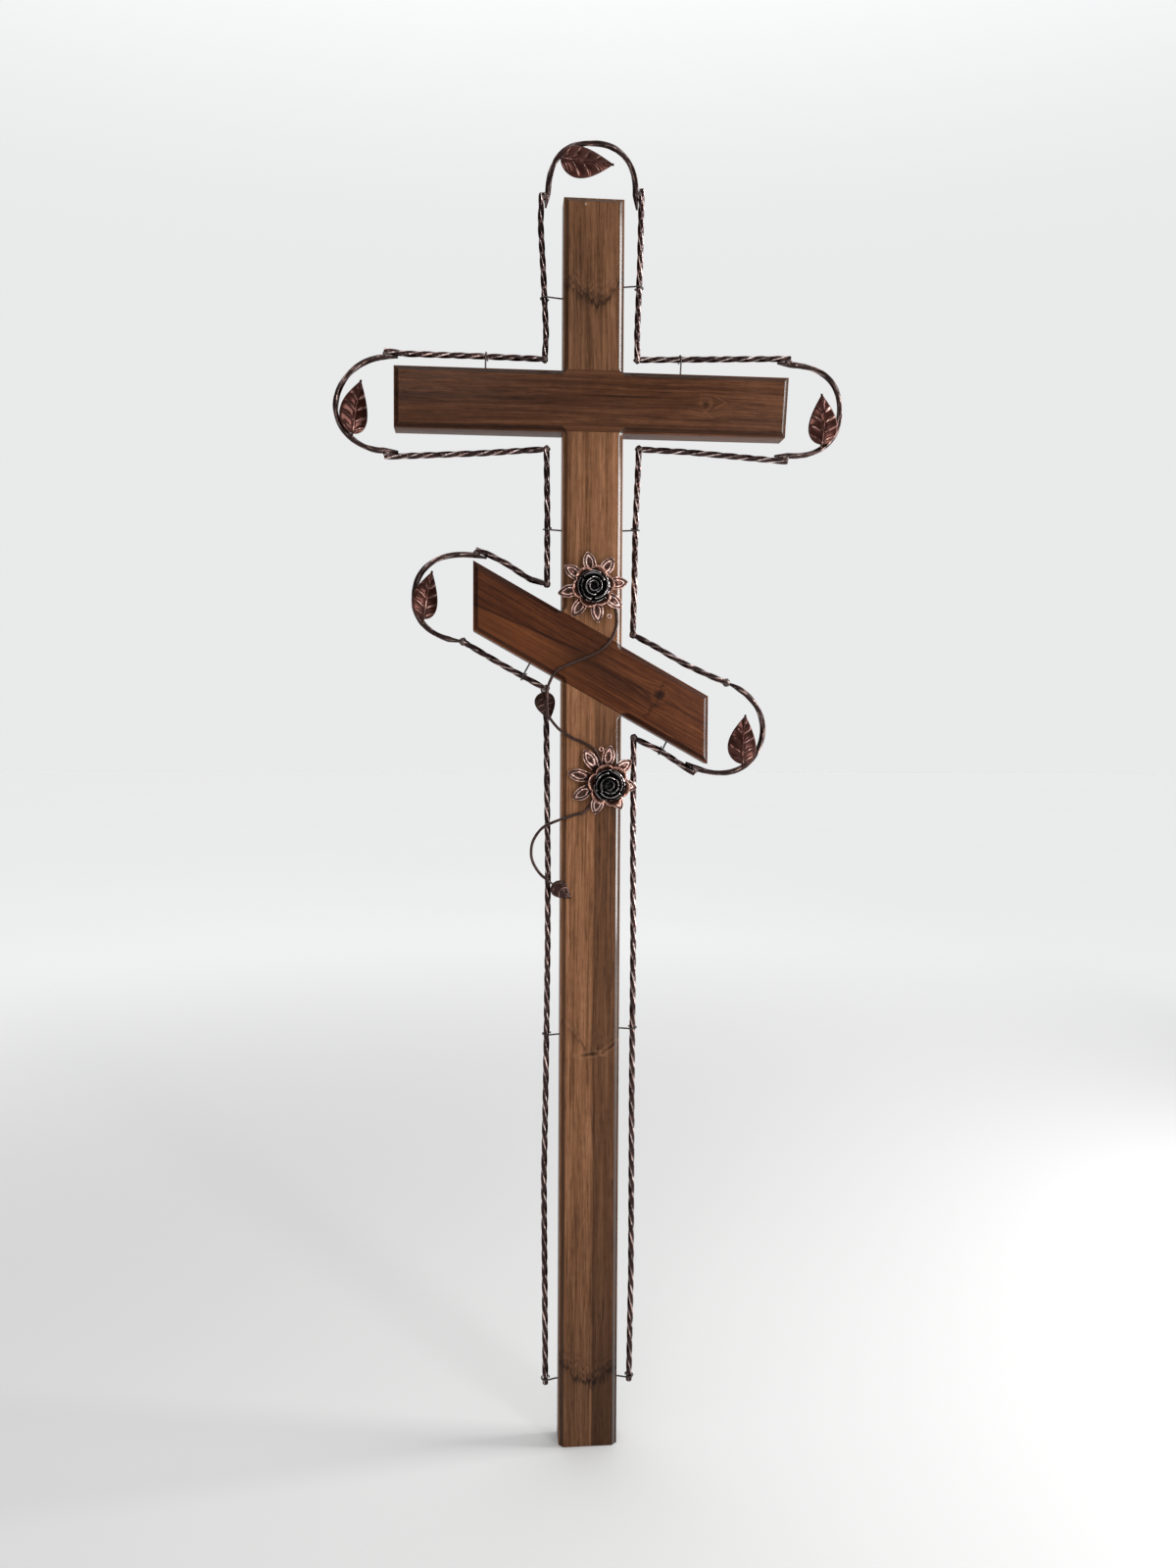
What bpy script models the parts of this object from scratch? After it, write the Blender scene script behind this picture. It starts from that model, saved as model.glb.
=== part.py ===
"""Grave cross with three bars: half-lapped pine boards inside an outline of twisted iron, with iron roses.

Metres, +Z up. The origin is the middle of the post's sawn foot, the cross faces -Y, and +X is the
viewer's right. Run it with Blender, from the command line or the text editor.
"""

import math

import bmesh
import bpy
from mathutils import Matrix, Vector

# Boards
BOARD_WIDTH = 0.095
BOARD_THICKNESS = 0.045
POST_HEIGHT = 2.000
CROSSBAR_LENGTH = 0.622
CROSSBAR_DROP = 0.314  # from the post's top to the middle of the crossbar
CROSSBAR_END_LEAN = math.radians(3.0)  # the right end is sawn out of square
SLANT_SPAN = 0.376  # between the plumb-sawn ends
SLANT_DROP = 0.410  # from the middle of the crossbar to the middle of the slanted bar
SLANT_TILT = math.radians(29.2)  # the viewer's left end is the high one
JOINT_GAP = 0.0003

# Moulding routed round the front edges, by a cutter that follows the boards' sides on a bearing
SHOULDER_WIDTH = 0.0026
SHOULDER_DEPTH = 0.0065
CHAMFER_WIDTH = 0.0050
CHAMFER_DEPTH = 0.0050
BEARING_RADIUS = 0.0063
ROUTER_ARC_STEPS = 6

# Iron outline, in the middle plane of the boards
IRON_BAR = 0.0080  # side of the twisted square bar
QUARTER_TURN = 0.027  # length in which a bar twists by a quarter turn
SECTIONS_PER_QUARTER = 2
ARC_BAR = 0.0078  # side of the plainer bar bent round the boards' ends
ARC_STEP = 0.011
ARC_QUARTER_TURN = 0.075
ARC_TIP = 0.022  # length of the drawn-out tips, which lie alongside the twisted bars' ends
ARC_TIP_SCALE = 0.4
TOP_RIGHT_SPARE = 0.010  # how far that bar runs on past the arc's lap
FOOT_CLEAR = 0.095  # height of the outline's lower ends above the foot
TOUCH = 0.0003  # left between pieces that touch

# Gaps between a board's edge and the middle of the iron beside it, at the eight inner corners
GAP_UPPER_LEFT = (0.0285, 0.0215)  # beside the post, above the crossbar
GAP_UPPER_RIGHT = (0.0240, 0.0250)
GAP_UNDER_LEFT = (0.0250, 0.0240)  # beside the post, under the crossbar
GAP_UNDER_RIGHT = (0.0275, 0.0205)
GAP_SLANT_UPPER_LEFT = (0.0235, 0.0280)  # beside the post, above the slanted bar
GAP_SLANT_UPPER_RIGHT = (0.0200, 0.0270)
GAP_SLANT_UNDER_LEFT = (0.0245, 0.0230)
GAP_SLANT_UNDER_RIGHT = (0.0225, 0.0215)

# Twisted bars: gap at the far end, and how far that end runs past the board's own end
TOP_LEFT_END = (0.0340, 0.011)
TOP_RIGHT_END = (0.0289, 0.024)
LEFT_ARM_TOP_END = (0.0264, 0.016)
LEFT_ARM_UNDER_END = (0.0421, 0.016)
RIGHT_ARM_TOP_END = (0.0349, 0.009)
RIGHT_ARM_UNDER_END = (0.0339, 0.006)
SLANT_LEFT_TOP_END = (0.0184, -0.004)
SLANT_LEFT_UNDER_END = (0.0231, 0.016)
SLANT_RIGHT_TOP_END = (0.0357, 0.033)
SLANT_RIGHT_UNDER_END = (0.0231, -0.018)
LOW_LEFT_GAP = 0.0210
LOW_RIGHT_GAP = 0.0222

# Hand-made unevenness: share of the bar's length, shift away from the board
BOWS = {
    "iron_top_left": ((0.15, -0.0030), (0.50, -0.0005), (0.82, 0.0026)),
    "iron_top_right": ((0.15, -0.0014), (0.55, 0.0004)),
    "iron_left_arm_top": ((0.40, -0.0008), (0.88, -0.0032)),
    "iron_left_arm_under": ((0.40, 0.0018), (0.85, 0.0007)),
    "iron_right_arm_top": ((0.50, 0.0000),),
    "iron_right_arm_under": ((0.32, -0.0020), (0.75, -0.0008)),
    "iron_mid_left": ((0.50, -0.0010),),
    "iron_mid_right": ((0.42, -0.0015), (0.75, -0.0002)),
    "iron_slant_left_top": ((0.22, -0.0050), (0.58, 0.0012), (0.85, 0.0020)),
    "iron_slant_left_under": ((0.50, 0.0012),),
    "iron_slant_right_top": ((0.25, -0.0007), (0.55, -0.0040), (0.80, -0.0025)),
    "iron_slant_right_under": ((0.42, -0.0040),),
    "iron_low_left": ((0.25, -0.0034), (0.36, -0.0032), (0.55, -0.0005), (0.70, 0.0026), (0.84, 0.0012)),
    "iron_low_right": ((0.15, 0.0002), (0.32, 0.0019), (0.53, 0.0013), (0.83, 0.0023)),
}

# Arcs: bulge from the middle of the arc's chord to its outermost point, and the squareness of each half
ARC_TOP_BULGE = (0.004, 0.079)
ARC_TOP_SQUARENESS = (2.6, 2.2)
ARC_LEFT_BULGE = (-0.075, -0.009)
ARC_LEFT_SQUARENESS = (2.05, 1.75)
ARC_RIGHT_BULGE = (0.083, -0.003)
ARC_RIGHT_SQUARENESS = (2.5, 2.25)
ARC_SLANT_LEFT_BULGE = (-0.084, 0.005)
ARC_SLANT_LEFT_SQUARENESS = (2.4, 2.1)
ARC_SLANT_RIGHT_BULGE = (0.080, -0.028)
ARC_SLANT_RIGHT_SQUARENESS = (2.05, 2.25)

# Leaves at the five ends
LEAF_LENGTH = 0.088
LEAF_WIDTH = 0.050
LEAF_STALK = 0.006  # from the arc to the blade
LEAF_BEND = 0.003  # how far the middle of the blade lies to one side
LEAF_SHEET = 0.0014
LEAF_CROWN = 0.0055
LEAF_RIB = 0.0016
LEAF_VEIN = 0.0011
LEAF_VEINS = 5
LEAF_ROWS = 10
LEAF_COLUMNS = 6

# Wire ties between the outline and the boards: share of the way along a bar
TIE_WIRE = 0.0026
TIE_STUB = 0.004  # straight length out of the wood
TIE_WRAP = math.radians(315)
TIE_WRAP_STEPS = 8
TIES = {
    "tie_top_left": ("iron_top_left", 0.37),
    "tie_top_right": ("iron_top_right", 0.425),
    "tie_left_arm": ("iron_left_arm_top", 0.37),
    "tie_right_arm": ("iron_right_arm_top", 0.28),
    "tie_mid_left": ("iron_mid_left", 0.60),
    "tie_mid_right": ("iron_mid_right", 0.44),
    "tie_slant_left": ("iron_slant_left_under", 0.28),
    "tie_slant_right": ("iron_slant_right_under", 0.43),
    "tie_low_left": ("iron_low_left", 0.49),
    "tie_low_right": ("iron_low_right", 0.445),
    "tie_foot_left": ("iron_low_left", 0.992),
    "tie_foot_right": ("iron_low_right", 0.992),
}

# Roses, placed from the middle of the slanted bar
FLOWER_UPPER = (0.000, 0.119)
FLOWER_LOWER = (0.017, -0.185)
FLOWER_UPPER_TURN = math.radians(10)
FLOWER_LOWER_TURN = math.radians(-12)
PETALS = 8
PETAL_RADIUS = 0.056
PETAL_WIDTH = 0.019
PETAL_SHEET = 0.0013
PETAL_RISE = 0.0045
PETAL_RIDGE = 0.0018
HUB_RADIUS = 0.015
CUP_PETALS = 6
CUP_RADIUS = 0.0335
CUP_WIDTH = 0.026
CUP_HEIGHT = 0.012
ROSE_RADIUS = 0.0250
ROSE_HEIGHT = 0.024
ROSE_LEAN = (0.009, -0.008)  # the lower rose hangs to one side of its petals
ROSE_SIDES = 18

# Vine
VINE_WIRE = 0.0048
VINE_STEP = 0.012
VINE_SINK = 0.004  # how far the free part of the lower wire lies behind its ends

# The upper wire: offsets in X and Z, first from the upper rose, on the wood
VINE_OFF_UPPER_ROSE = (
    (0.0120, -0.0040), (0.0300, -0.0170), (0.0374, -0.0357), (0.0384, -0.0587), (0.0305, -0.0801),
    (0.0145, -0.0980), (-0.0105, -0.1107), (-0.0372, -0.1217),
)
# then from the iron's corner left of the slanted bar,
# with the share of the way from the wood to the iron's front
VINE_PAST_CORNER = (
    (0.0150, 0.0272, 0.0), (0.0060, 0.0130, 0.5), (0.0010, -0.0050, 1.0),
    (0.0018, -0.0375, 1.0), (0.0070, -0.0490, 1.0), (0.0176, -0.0621, 0.5),
)
# and last from the lower rose, on the wood
VINE_TO_LOWER_ROSE = (
    (-0.0630, 0.0757), (-0.0450, 0.0649), (-0.0332, 0.0603),
    (-0.0116, 0.0463), (-0.0010, 0.0200), (0.0000, 0.0050),
)
# The lower wire: offsets from the lower rose, with the share of the sink
VINE_BELOW_LOWER_ROSE = (
    (-0.0060, -0.0040, 0.0), (-0.0236, -0.0470, 0.0), (-0.0470, -0.0566, 0.0), (-0.0754, -0.0666, 0.0),
    (-0.0952, -0.0773, 1.0), (-0.1088, -0.0960, 1.0), (-0.1126, -0.1152, 1.0), (-0.1095, -0.1322, 1.0),
    (-0.0982, -0.1503, 1.0), (-0.0842, -0.1617, 0.0),
)
VINE_LEAF_LENGTH = 0.052
VINE_LEAF_WIDTH = 0.036
VINE_LEAF_FOLD = 0.0060
VINE_LEAF_UPPER_FOOT = (-0.008, 0.000)  # from the iron's corner
VINE_LEAF_UPPER_TURN = 164.0
VINE_LEAF_LOWER_TURN = 128.0
VINE_LEAF_LOWER_SCALE = 0.85
EYE_RADIUS = 0.0031
EYE_WIRE = 0.0020
EYE_UPPER = (0.027, -0.0445)  # from the middle of each rose
EYE_LOWER = (-0.002, 0.0485)

FRONT = -BOARD_THICKNESS / 2
BACK = BOARD_THICKNESS / 2
HALF = BOARD_WIDTH / 2
CROSSBAR_HEIGHT = POST_HEIGHT - CROSSBAR_DROP
SLANT_HEIGHT = CROSSBAR_HEIGHT - SLANT_DROP
BAR_REACH = IRON_BAR / math.sqrt(2)  # from the middle of a twisted bar to its edges
ARC_REACH = ARC_BAR / math.sqrt(2)


def clear_scene():
    for obj in list(bpy.data.objects):
        bpy.data.objects.remove(obj)


def collection_named(name):
    collection = bpy.data.collections.new(name)
    bpy.context.scene.collection.children.link(collection)
    return collection


def material_named(name, colour, roughness, metallic):
    material = bpy.data.materials.new(name)
    material.use_nodes = True
    shader = material.node_tree.nodes["Principled BSDF"]
    shader.inputs["Base Color"].default_value = (*colour, 1.0)
    shader.inputs["Roughness"].default_value = roughness
    shader.inputs["Metallic"].default_value = metallic
    return material


clear_scene()
PARTS = collection_named("grave_cross")
HELPERS = collection_named("cutters_and_guides")
POST_WOOD = material_named("post_wood", (0.16, 0.075, 0.036), 0.55, 0.0)
CROSSBAR_WOOD = material_named("crossbar_wood", (0.075, 0.030, 0.017), 0.55, 0.0)
SLANT_WOOD = material_named("slant_wood", (0.105, 0.033, 0.014), 0.55, 0.0)
TWISTED_IRON = material_named("twisted_iron", (0.075, 0.040, 0.034), 0.38, 0.85)
LEAF_COPPER = material_named("leaf_copper", (0.130, 0.042, 0.030), 0.36, 0.9)
PETAL_COPPER = material_named("petal_copper", (0.200, 0.085, 0.062), 0.33, 0.9)
ROSE_BLACK = material_named("rose_black", (0.010, 0.008, 0.008), 0.18, 0.6)
TIE_STEEL = material_named("tie_steel", (0.035, 0.032, 0.028), 0.45, 0.9)


def placed(name, data, material):
    """A new object of the cross."""
    obj = bpy.data.objects.new(name, data)
    data.materials.append(material)
    PARTS.objects.link(obj)
    return obj


def helper(name, data):
    """A cutter or guide, which is no part of the cross."""
    obj = bpy.data.objects.new(name, data)
    obj.hide_render = True
    obj.display_type = "WIRE"
    HELPERS.objects.link(obj)
    return obj


def mesh_from(name, bm):
    mesh = bpy.data.meshes.new(name)
    bm.to_mesh(mesh)
    bm.free()
    return mesh


def prism(name, corners, back, front):
    """Mesh of an outline in X and Z, from one depth to another."""
    bm = bmesh.new()
    face = bm.faces.new([bm.verts.new((x, back, z)) for x, z in corners])
    extruded = bmesh.ops.extrude_face_region(bm, geom=[face])
    moved = [item for item in extruded["geom"] if isinstance(item, bmesh.types.BMVert)]
    bmesh.ops.translate(bm, verts=moved, vec=(0, front - back, 0))
    bmesh.ops.recalc_face_normals(bm, faces=bm.faces)
    return mesh_from(name, bm)


def cut(obj, cutter):
    modifier = obj.modifiers.new("cut by " + cutter.name, "BOOLEAN")
    modifier.operation = "DIFFERENCE"
    modifier.solver = "EXACT"
    modifier.object = cutter


def slant_edge(x, side):
    """Height of the slanted bar's upper (+1) or lower (-1) edge at x; side is 0 for its middle."""
    return SLANT_HEIGHT - math.tan(SLANT_TILT) * x + side * HALF / math.cos(SLANT_TILT)


def post_corners(foot=0.0):
    return [(-HALF, foot), (HALF, foot), (HALF, POST_HEIGHT), (-HALF, POST_HEIGHT)]


def crossbar_corners():
    end = CROSSBAR_LENGTH / 2
    lean = math.tan(CROSSBAR_END_LEAN) * HALF
    low, high = CROSSBAR_HEIGHT - HALF, CROSSBAR_HEIGHT + HALF
    return [(-end, low), (end - lean, low), (end + lean, high), (-end, high)]


def slant_corners(end=SLANT_SPAN / 2, extra=0.0):
    wide = extra / math.cos(SLANT_TILT)
    return [
        (-end, slant_edge(-end, -1) - wide),
        (end, slant_edge(end, -1) - wide),
        (end, slant_edge(end, 1) + wide),
        (-end, slant_edge(-end, 1) + wide),
    ]


def cross_outline(foot):
    """Corners of the three boards' joint outline, anticlockwise from the foot's left corner."""
    bar = crossbar_corners()
    slant = slant_corners()
    return [
        (-HALF, foot),
        (HALF, foot),
        (HALF, slant_edge(HALF, -1)),
        slant[1],
        slant[2],
        (HALF, slant_edge(HALF, 1)),
        (HALF, bar[1][1]),
        bar[1],
        bar[2],
        (HALF, bar[2][1]),
        (HALF, POST_HEIGHT),
        (-HALF, POST_HEIGHT),
        (-HALF, bar[3][1]),
        bar[3],
        bar[0],
        (-HALF, bar[0][1]),
        (-HALF, slant_edge(-HALF, 1)),
        slant[3],
        slant[0],
        (-HALF, slant_edge(-HALF, -1)),
    ]


def routed_line(corners, inset):
    """The outline moved in by inset, rounded at inner corners where the bearing can't reach."""
    points = [Vector(corner) for corner in corners]
    line = []
    for i, point in enumerate(points):
        along_in = (point - points[i - 1]).normalized()
        along_out = (points[(i + 1) % len(points)] - point).normalized()
        inward_in = Vector((-along_in.y, along_in.x))
        inward_out = Vector((-along_out.y, along_out.x))
        mitre = (inward_in + inward_out) / (1 + inward_in.dot(inward_out))
        turn = along_in.x * along_out.y - along_in.y * along_out.x
        if turn > 0:
            line.append(point + mitre * inset)
            continue
        centre = point - mitre * BEARING_RADIUS
        first = math.atan2(inward_in.y, inward_in.x)
        sweep = math.atan2(turn, along_in.dot(along_out))
        for step in range(ROUTER_ARC_STEPS + 1):
            angle = first + sweep * step / ROUTER_ARC_STEPS
            line.append(centre + (BEARING_RADIUS + inset) * Vector((math.cos(angle), math.sin(angle))))
    return line


def loft(name, rings):
    """Closed mesh through rings of equal counts, each a list of points in space, with flat ends."""
    bm = bmesh.new()
    loops = [[bm.verts.new(point) for point in ring] for ring in rings]
    for near, far in zip(loops, loops[1:]):
        for i in range(len(near)):
            j = (i + 1) % len(near)
            bm.faces.new((near[i], near[j], far[j], far[i]))
    bm.faces.new(loops[0])
    bm.faces.new(loops[-1])
    bmesh.ops.recalc_face_normals(bm, faces=bm.faces)
    return mesh_from(name, bm)


def router_waste():
    """What the router takes off the front edges: a plate over the whole front, less the raised middle."""
    spare = 0.010
    outline = cross_outline(foot=-BOARD_WIDTH)
    inner = SHOULDER_WIDTH + CHAMFER_WIDTH
    levels = [
        (SHOULDER_WIDTH, FRONT + SHOULDER_DEPTH + spare),
        (SHOULDER_WIDTH, FRONT + CHAMFER_DEPTH),
        (inner, FRONT),
        (inner, FRONT - 2 * spare),
    ]
    rings = [[(x, y, z) for x, z in routed_line(outline, inset)] for inset, y in levels]
    middle = helper("raised_middle", loft("raised_middle", rings))
    reach = CROSSBAR_LENGTH
    sheet = [(-reach, -reach), (reach, -reach), (reach, POST_HEIGHT + reach), (-reach, POST_HEIGHT + reach)]
    waste = helper("router_waste", prism("router_waste", sheet, FRONT + SHOULDER_DEPTH, FRONT - spare))
    cut(waste, middle)
    return waste


def make_boards():
    """Post, crossbar and slanted bar, lapped half in half where they cross."""
    waste = router_waste()
    post = placed("post", prism("post", post_corners(), BACK, FRONT), POST_WOOD)
    crossbar = placed("crossbar", prism("crossbar", crossbar_corners(), BACK, FRONT), CROSSBAR_WOOD)
    slanted = placed("slanted_bar", prism("slanted_bar", slant_corners(), BACK, FRONT), SLANT_WOOD)
    wide = HALF + JOINT_GAP
    low, high = CROSSBAR_HEIGHT - wide, CROSSBAR_HEIGHT + wide
    spare = BOARD_THICKNESS
    notches = [
        [(-spare - HALF, low), (spare + HALF, low), (spare + HALF, high), (-spare - HALF, high)],
        slant_corners(end=HALF + spare / 2, extra=JOINT_GAP),
    ]
    for name, corners in zip(("post_notch_for_crossbar", "post_notch_for_slanted_bar"), notches):
        cut(post, helper(name, prism(name, corners, JOINT_GAP / 2, FRONT - spare)))
    tall = [(-wide, -spare), (wide, -spare), (wide, POST_HEIGHT + spare), (-wide, POST_HEIGHT + spare)]
    lap = helper("bars_notch_for_post", prism("bars_notch_for_post", tall, BACK + spare, -JOINT_GAP / 2))
    for board in (crossbar, slanted):
        cut(board, lap)
    for board in (post, crossbar, slanted):
        cut(board, waste)


# Each board edge that iron runs beside: a point on it, its direction and the way out, in X and Z
SLANT_ALONG = Vector((math.cos(SLANT_TILT), -math.sin(SLANT_TILT)))
SLANT_OUT = Vector((math.sin(SLANT_TILT), math.cos(SLANT_TILT)))
SLANT_MIDDLE = Vector((0.0, SLANT_HEIGHT))
EDGES = {
    "post_left": (Vector((-HALF, 0)), Vector((0, 1)), Vector((-1, 0))),
    "post_right": (Vector((HALF, 0)), Vector((0, 1)), Vector((1, 0))),
    "crossbar_top": (Vector((0, CROSSBAR_HEIGHT + HALF)), Vector((1, 0)), Vector((0, 1))),
    "crossbar_under": (Vector((0, CROSSBAR_HEIGHT - HALF)), Vector((1, 0)), Vector((0, -1))),
    "slant_top": (SLANT_MIDDLE + SLANT_OUT * HALF, SLANT_ALONG, SLANT_OUT),
    "slant_under": (SLANT_MIDDLE - SLANT_OUT * HALF, SLANT_ALONG, -SLANT_OUT),
}


def beside(edge, place, gap):
    """The point beside an edge where its direction's main coordinate is place."""
    origin, along, out = EDGES[edge]
    start = origin + out * gap
    axis = 1 if edge.startswith("post") else 0
    return start + along * (place - start[axis]) / along[axis]


def inner_corner(post_edge, bar_edge, gaps):
    """Where iron beside the post meets iron beside a bar."""
    post_gap, bar_gap = gaps
    x = beside(post_edge, 0.0, post_gap).x
    return beside(bar_edge, x, bar_gap)


def iron_lines():
    """The middle line of each twisted bar, from its inner corner outwards, and the edge that it follows."""
    arm = CROSSBAR_LENGTH / 2
    slant = SLANT_SPAN / 2
    upper_left = inner_corner("post_left", "crossbar_top", GAP_UPPER_LEFT)
    upper_right = inner_corner("post_right", "crossbar_top", GAP_UPPER_RIGHT)
    under_left = inner_corner("post_left", "crossbar_under", GAP_UNDER_LEFT)
    under_right = inner_corner("post_right", "crossbar_under", GAP_UNDER_RIGHT)
    slant_upper_left = inner_corner("post_left", "slant_top", GAP_SLANT_UPPER_LEFT)
    slant_upper_right = inner_corner("post_right", "slant_top", GAP_SLANT_UPPER_RIGHT)
    slant_under_left = inner_corner("post_left", "slant_under", GAP_SLANT_UNDER_LEFT)
    slant_under_right = inner_corner("post_right", "slant_under", GAP_SLANT_UNDER_RIGHT)

    def past(edge, side, end, finish):
        gap, overrun = finish
        return beside(edge, side * (end + overrun), gap)

    ends = {
        "iron_top_left": ("post_left", upper_left, past("post_left", 1, POST_HEIGHT, TOP_LEFT_END)),
        "iron_top_right": ("post_right", upper_right, past("post_right", 1, POST_HEIGHT, TOP_RIGHT_END)),
        "iron_left_arm_top": ("crossbar_top", upper_left, past("crossbar_top", -1, arm, LEFT_ARM_TOP_END)),
        "iron_left_arm_under": ("crossbar_under", under_left,
                                past("crossbar_under", -1, arm, LEFT_ARM_UNDER_END)),
        "iron_right_arm_top": ("crossbar_top", upper_right, past("crossbar_top", 1, arm, RIGHT_ARM_TOP_END)),
        "iron_right_arm_under": ("crossbar_under", under_right,
                                 past("crossbar_under", 1, arm, RIGHT_ARM_UNDER_END)),
        "iron_mid_left": ("post_left", under_left, slant_upper_left),
        "iron_mid_right": ("post_right", under_right, slant_upper_right),
        "iron_slant_left_top": ("slant_top", slant_upper_left,
                                past("slant_top", -1, slant, SLANT_LEFT_TOP_END)),
        "iron_slant_left_under": ("slant_under", slant_under_left,
                                  past("slant_under", -1, slant, SLANT_LEFT_UNDER_END)),
        "iron_slant_right_top": ("slant_top", slant_upper_right,
                                 past("slant_top", 1, slant, SLANT_RIGHT_TOP_END)),
        "iron_slant_right_under": ("slant_under", slant_under_right,
                                   past("slant_under", 1, slant, SLANT_RIGHT_UNDER_END)),
        "iron_low_left": ("post_left", slant_under_left, beside("post_left", FOOT_CLEAR, LOW_LEFT_GAP)),
        "iron_low_right": ("post_right", slant_under_right, beside("post_right", FOOT_CLEAR, LOW_RIGHT_GAP)),
    }
    lines = {}
    for name, (edge, start, finish) in ends.items():
        out = EDGES[edge][2]
        bends = [start.lerp(finish, share) + out * shift for share, shift in BOWS[name]]
        lines[name] = (edge, [start, *bends, finish])
    return lines


def trimmed_start(name, edge, line):
    """The line as the bar is cut: bars beside the post run through a corner, the others butt against them."""
    along = (line[1] - line[0]).normalized()
    if edge.startswith("post"):
        start = line[0] - along * IRON_BAR / 2
        if name.startswith("iron_mid"):
            finish_along = (line[-1] - line[-2]).normalized()
            return [start, *line[1:-1], line[-1] + finish_along * IRON_BAR / 2]
        return [start, *line[1:]]
    across = abs(along.x)
    room = (BAR_REACH + TOUCH + BAR_REACH * math.sqrt(1 - across * across)) / across
    return [line[0] + along * room, *line[1:]]


def length_of(line):
    return sum((b - a).length for a, b in zip(line, line[1:]))


def point_along(line, distance):
    """Point and direction at a distance along a line of points."""
    for a, b in zip(line, line[1:]):
        step = (b - a).length
        if distance <= step + 1e-9:
            return a.lerp(b, distance / step), (b - a).normalized()
        distance -= step
    return line[-1].copy(), (line[-1] - line[-2]).normalized()


def square_ring(place, along, side, angle):
    """Four corners of a square section across a line that lies in the middle plane of the boards."""
    across = Vector((along.y, -along.x))
    reach = side / math.sqrt(2)
    ring = []
    for quarter in range(4):
        turn = angle + math.pi / 4 + quarter * math.pi / 2
        point = place + across * reach * math.cos(turn)
        ring.append((point.x, reach * math.sin(turn), point.y))
    return ring


def bar_along(name, line, side, step, quarter_turn, tip=0.0):
    """A square bar lofted along a line, twisted as it goes, with tapered tips if asked."""
    length = length_of(line)
    count = max(3, round(length / step))
    rings = []
    for i in range(count + 1):
        distance = length * i / count
        place, _ = point_along(line, distance)
        before, _ = point_along(line, max(0.0, distance - step / 2))
        after, _ = point_along(line, min(length, distance + step / 2))
        size = side
        if tip:
            size *= min(1.0, ARC_TIP_SCALE + (1 - ARC_TIP_SCALE) * min(distance, length - distance) / tip)
        twist = math.pi / 2 * distance / quarter_turn
        rings.append(square_ring(place, (after - before).normalized(), size, twist))
    return placed(name, loft(name, rings), TWISTED_IRON)


def bulged(start, finish, bulge, squareness, steps=24):
    """Points of a half superellipse from start to finish whose outermost point is bulge from the middle."""
    middle = (start + finish) / 2
    first, second = squareness
    points = []
    for i in range(steps + 1):
        angle = math.pi * i / steps
        power = 2 / (first if i * 2 < steps else second)
        sideways = math.copysign(abs(math.cos(angle)) ** power, math.cos(angle))
        outwards = max(math.sin(angle), 0.0) ** power
        points.append(middle + (start - middle) * sideways + Vector(bulge) * outwards)
    return points


def arc_line(lines, first, last, bulge, squareness, butted=(), spare=0.0):
    """Middle line of the bar round one end: it laps the inside of the twisted bars' ends, or butts them."""

    def end(name, back):
        edge, line = lines[name]
        along = (line[-1] - line[-2]).normalized()
        if name in butted:
            return [line[-1] + along * 3 * TOUCH]
        out = EDGES[edge][2]
        foot = line[-1] - along * back
        root = foot - out * (BAR_REACH + ARC_REACH + TOUCH)
        tip = foot - out * (BAR_REACH + ARC_REACH * ARC_TIP_SCALE + TOUCH) - along * ARC_TIP
        return [tip, root]

    start = end(first, 0.0)
    finish = end(last, spare)
    return [*start[:-1], *bulged(start[-1], finish[-1], bulge, squareness), *reversed(finish[:-1])]


def arc_lines(lines):
    return {
        "arc_top": arc_line(lines, "iron_top_left", "iron_top_right",
                            ARC_TOP_BULGE, ARC_TOP_SQUARENESS, spare=TOP_RIGHT_SPARE),
        "arc_left": arc_line(lines, "iron_left_arm_top", "iron_left_arm_under",
                             ARC_LEFT_BULGE, ARC_LEFT_SQUARENESS),
        "arc_right": arc_line(lines, "iron_right_arm_top", "iron_right_arm_under",
                              ARC_RIGHT_BULGE, ARC_RIGHT_SQUARENESS),
        "arc_slant_left": arc_line(lines, "iron_slant_left_top", "iron_slant_left_under",
                                   ARC_SLANT_LEFT_BULGE, ARC_SLANT_LEFT_SQUARENESS,
                                   butted=("iron_slant_left_under",)),
        "arc_slant_right": arc_line(lines, "iron_slant_right_top", "iron_slant_right_under",
                                    ARC_SLANT_RIGHT_BULGE, ARC_SLANT_RIGHT_SQUARENESS,
                                    butted=("iron_slant_right_top",)),
    }


def leaf_width(share):
    """Half-width of a leaf at a share of its length, as a share of its greatest half-width."""
    base, tip = 0.55, 1.10
    widest = base / (base + tip)
    return share**base * (1 - share) ** tip / (widest**base * (1 - widest) ** tip)


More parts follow.
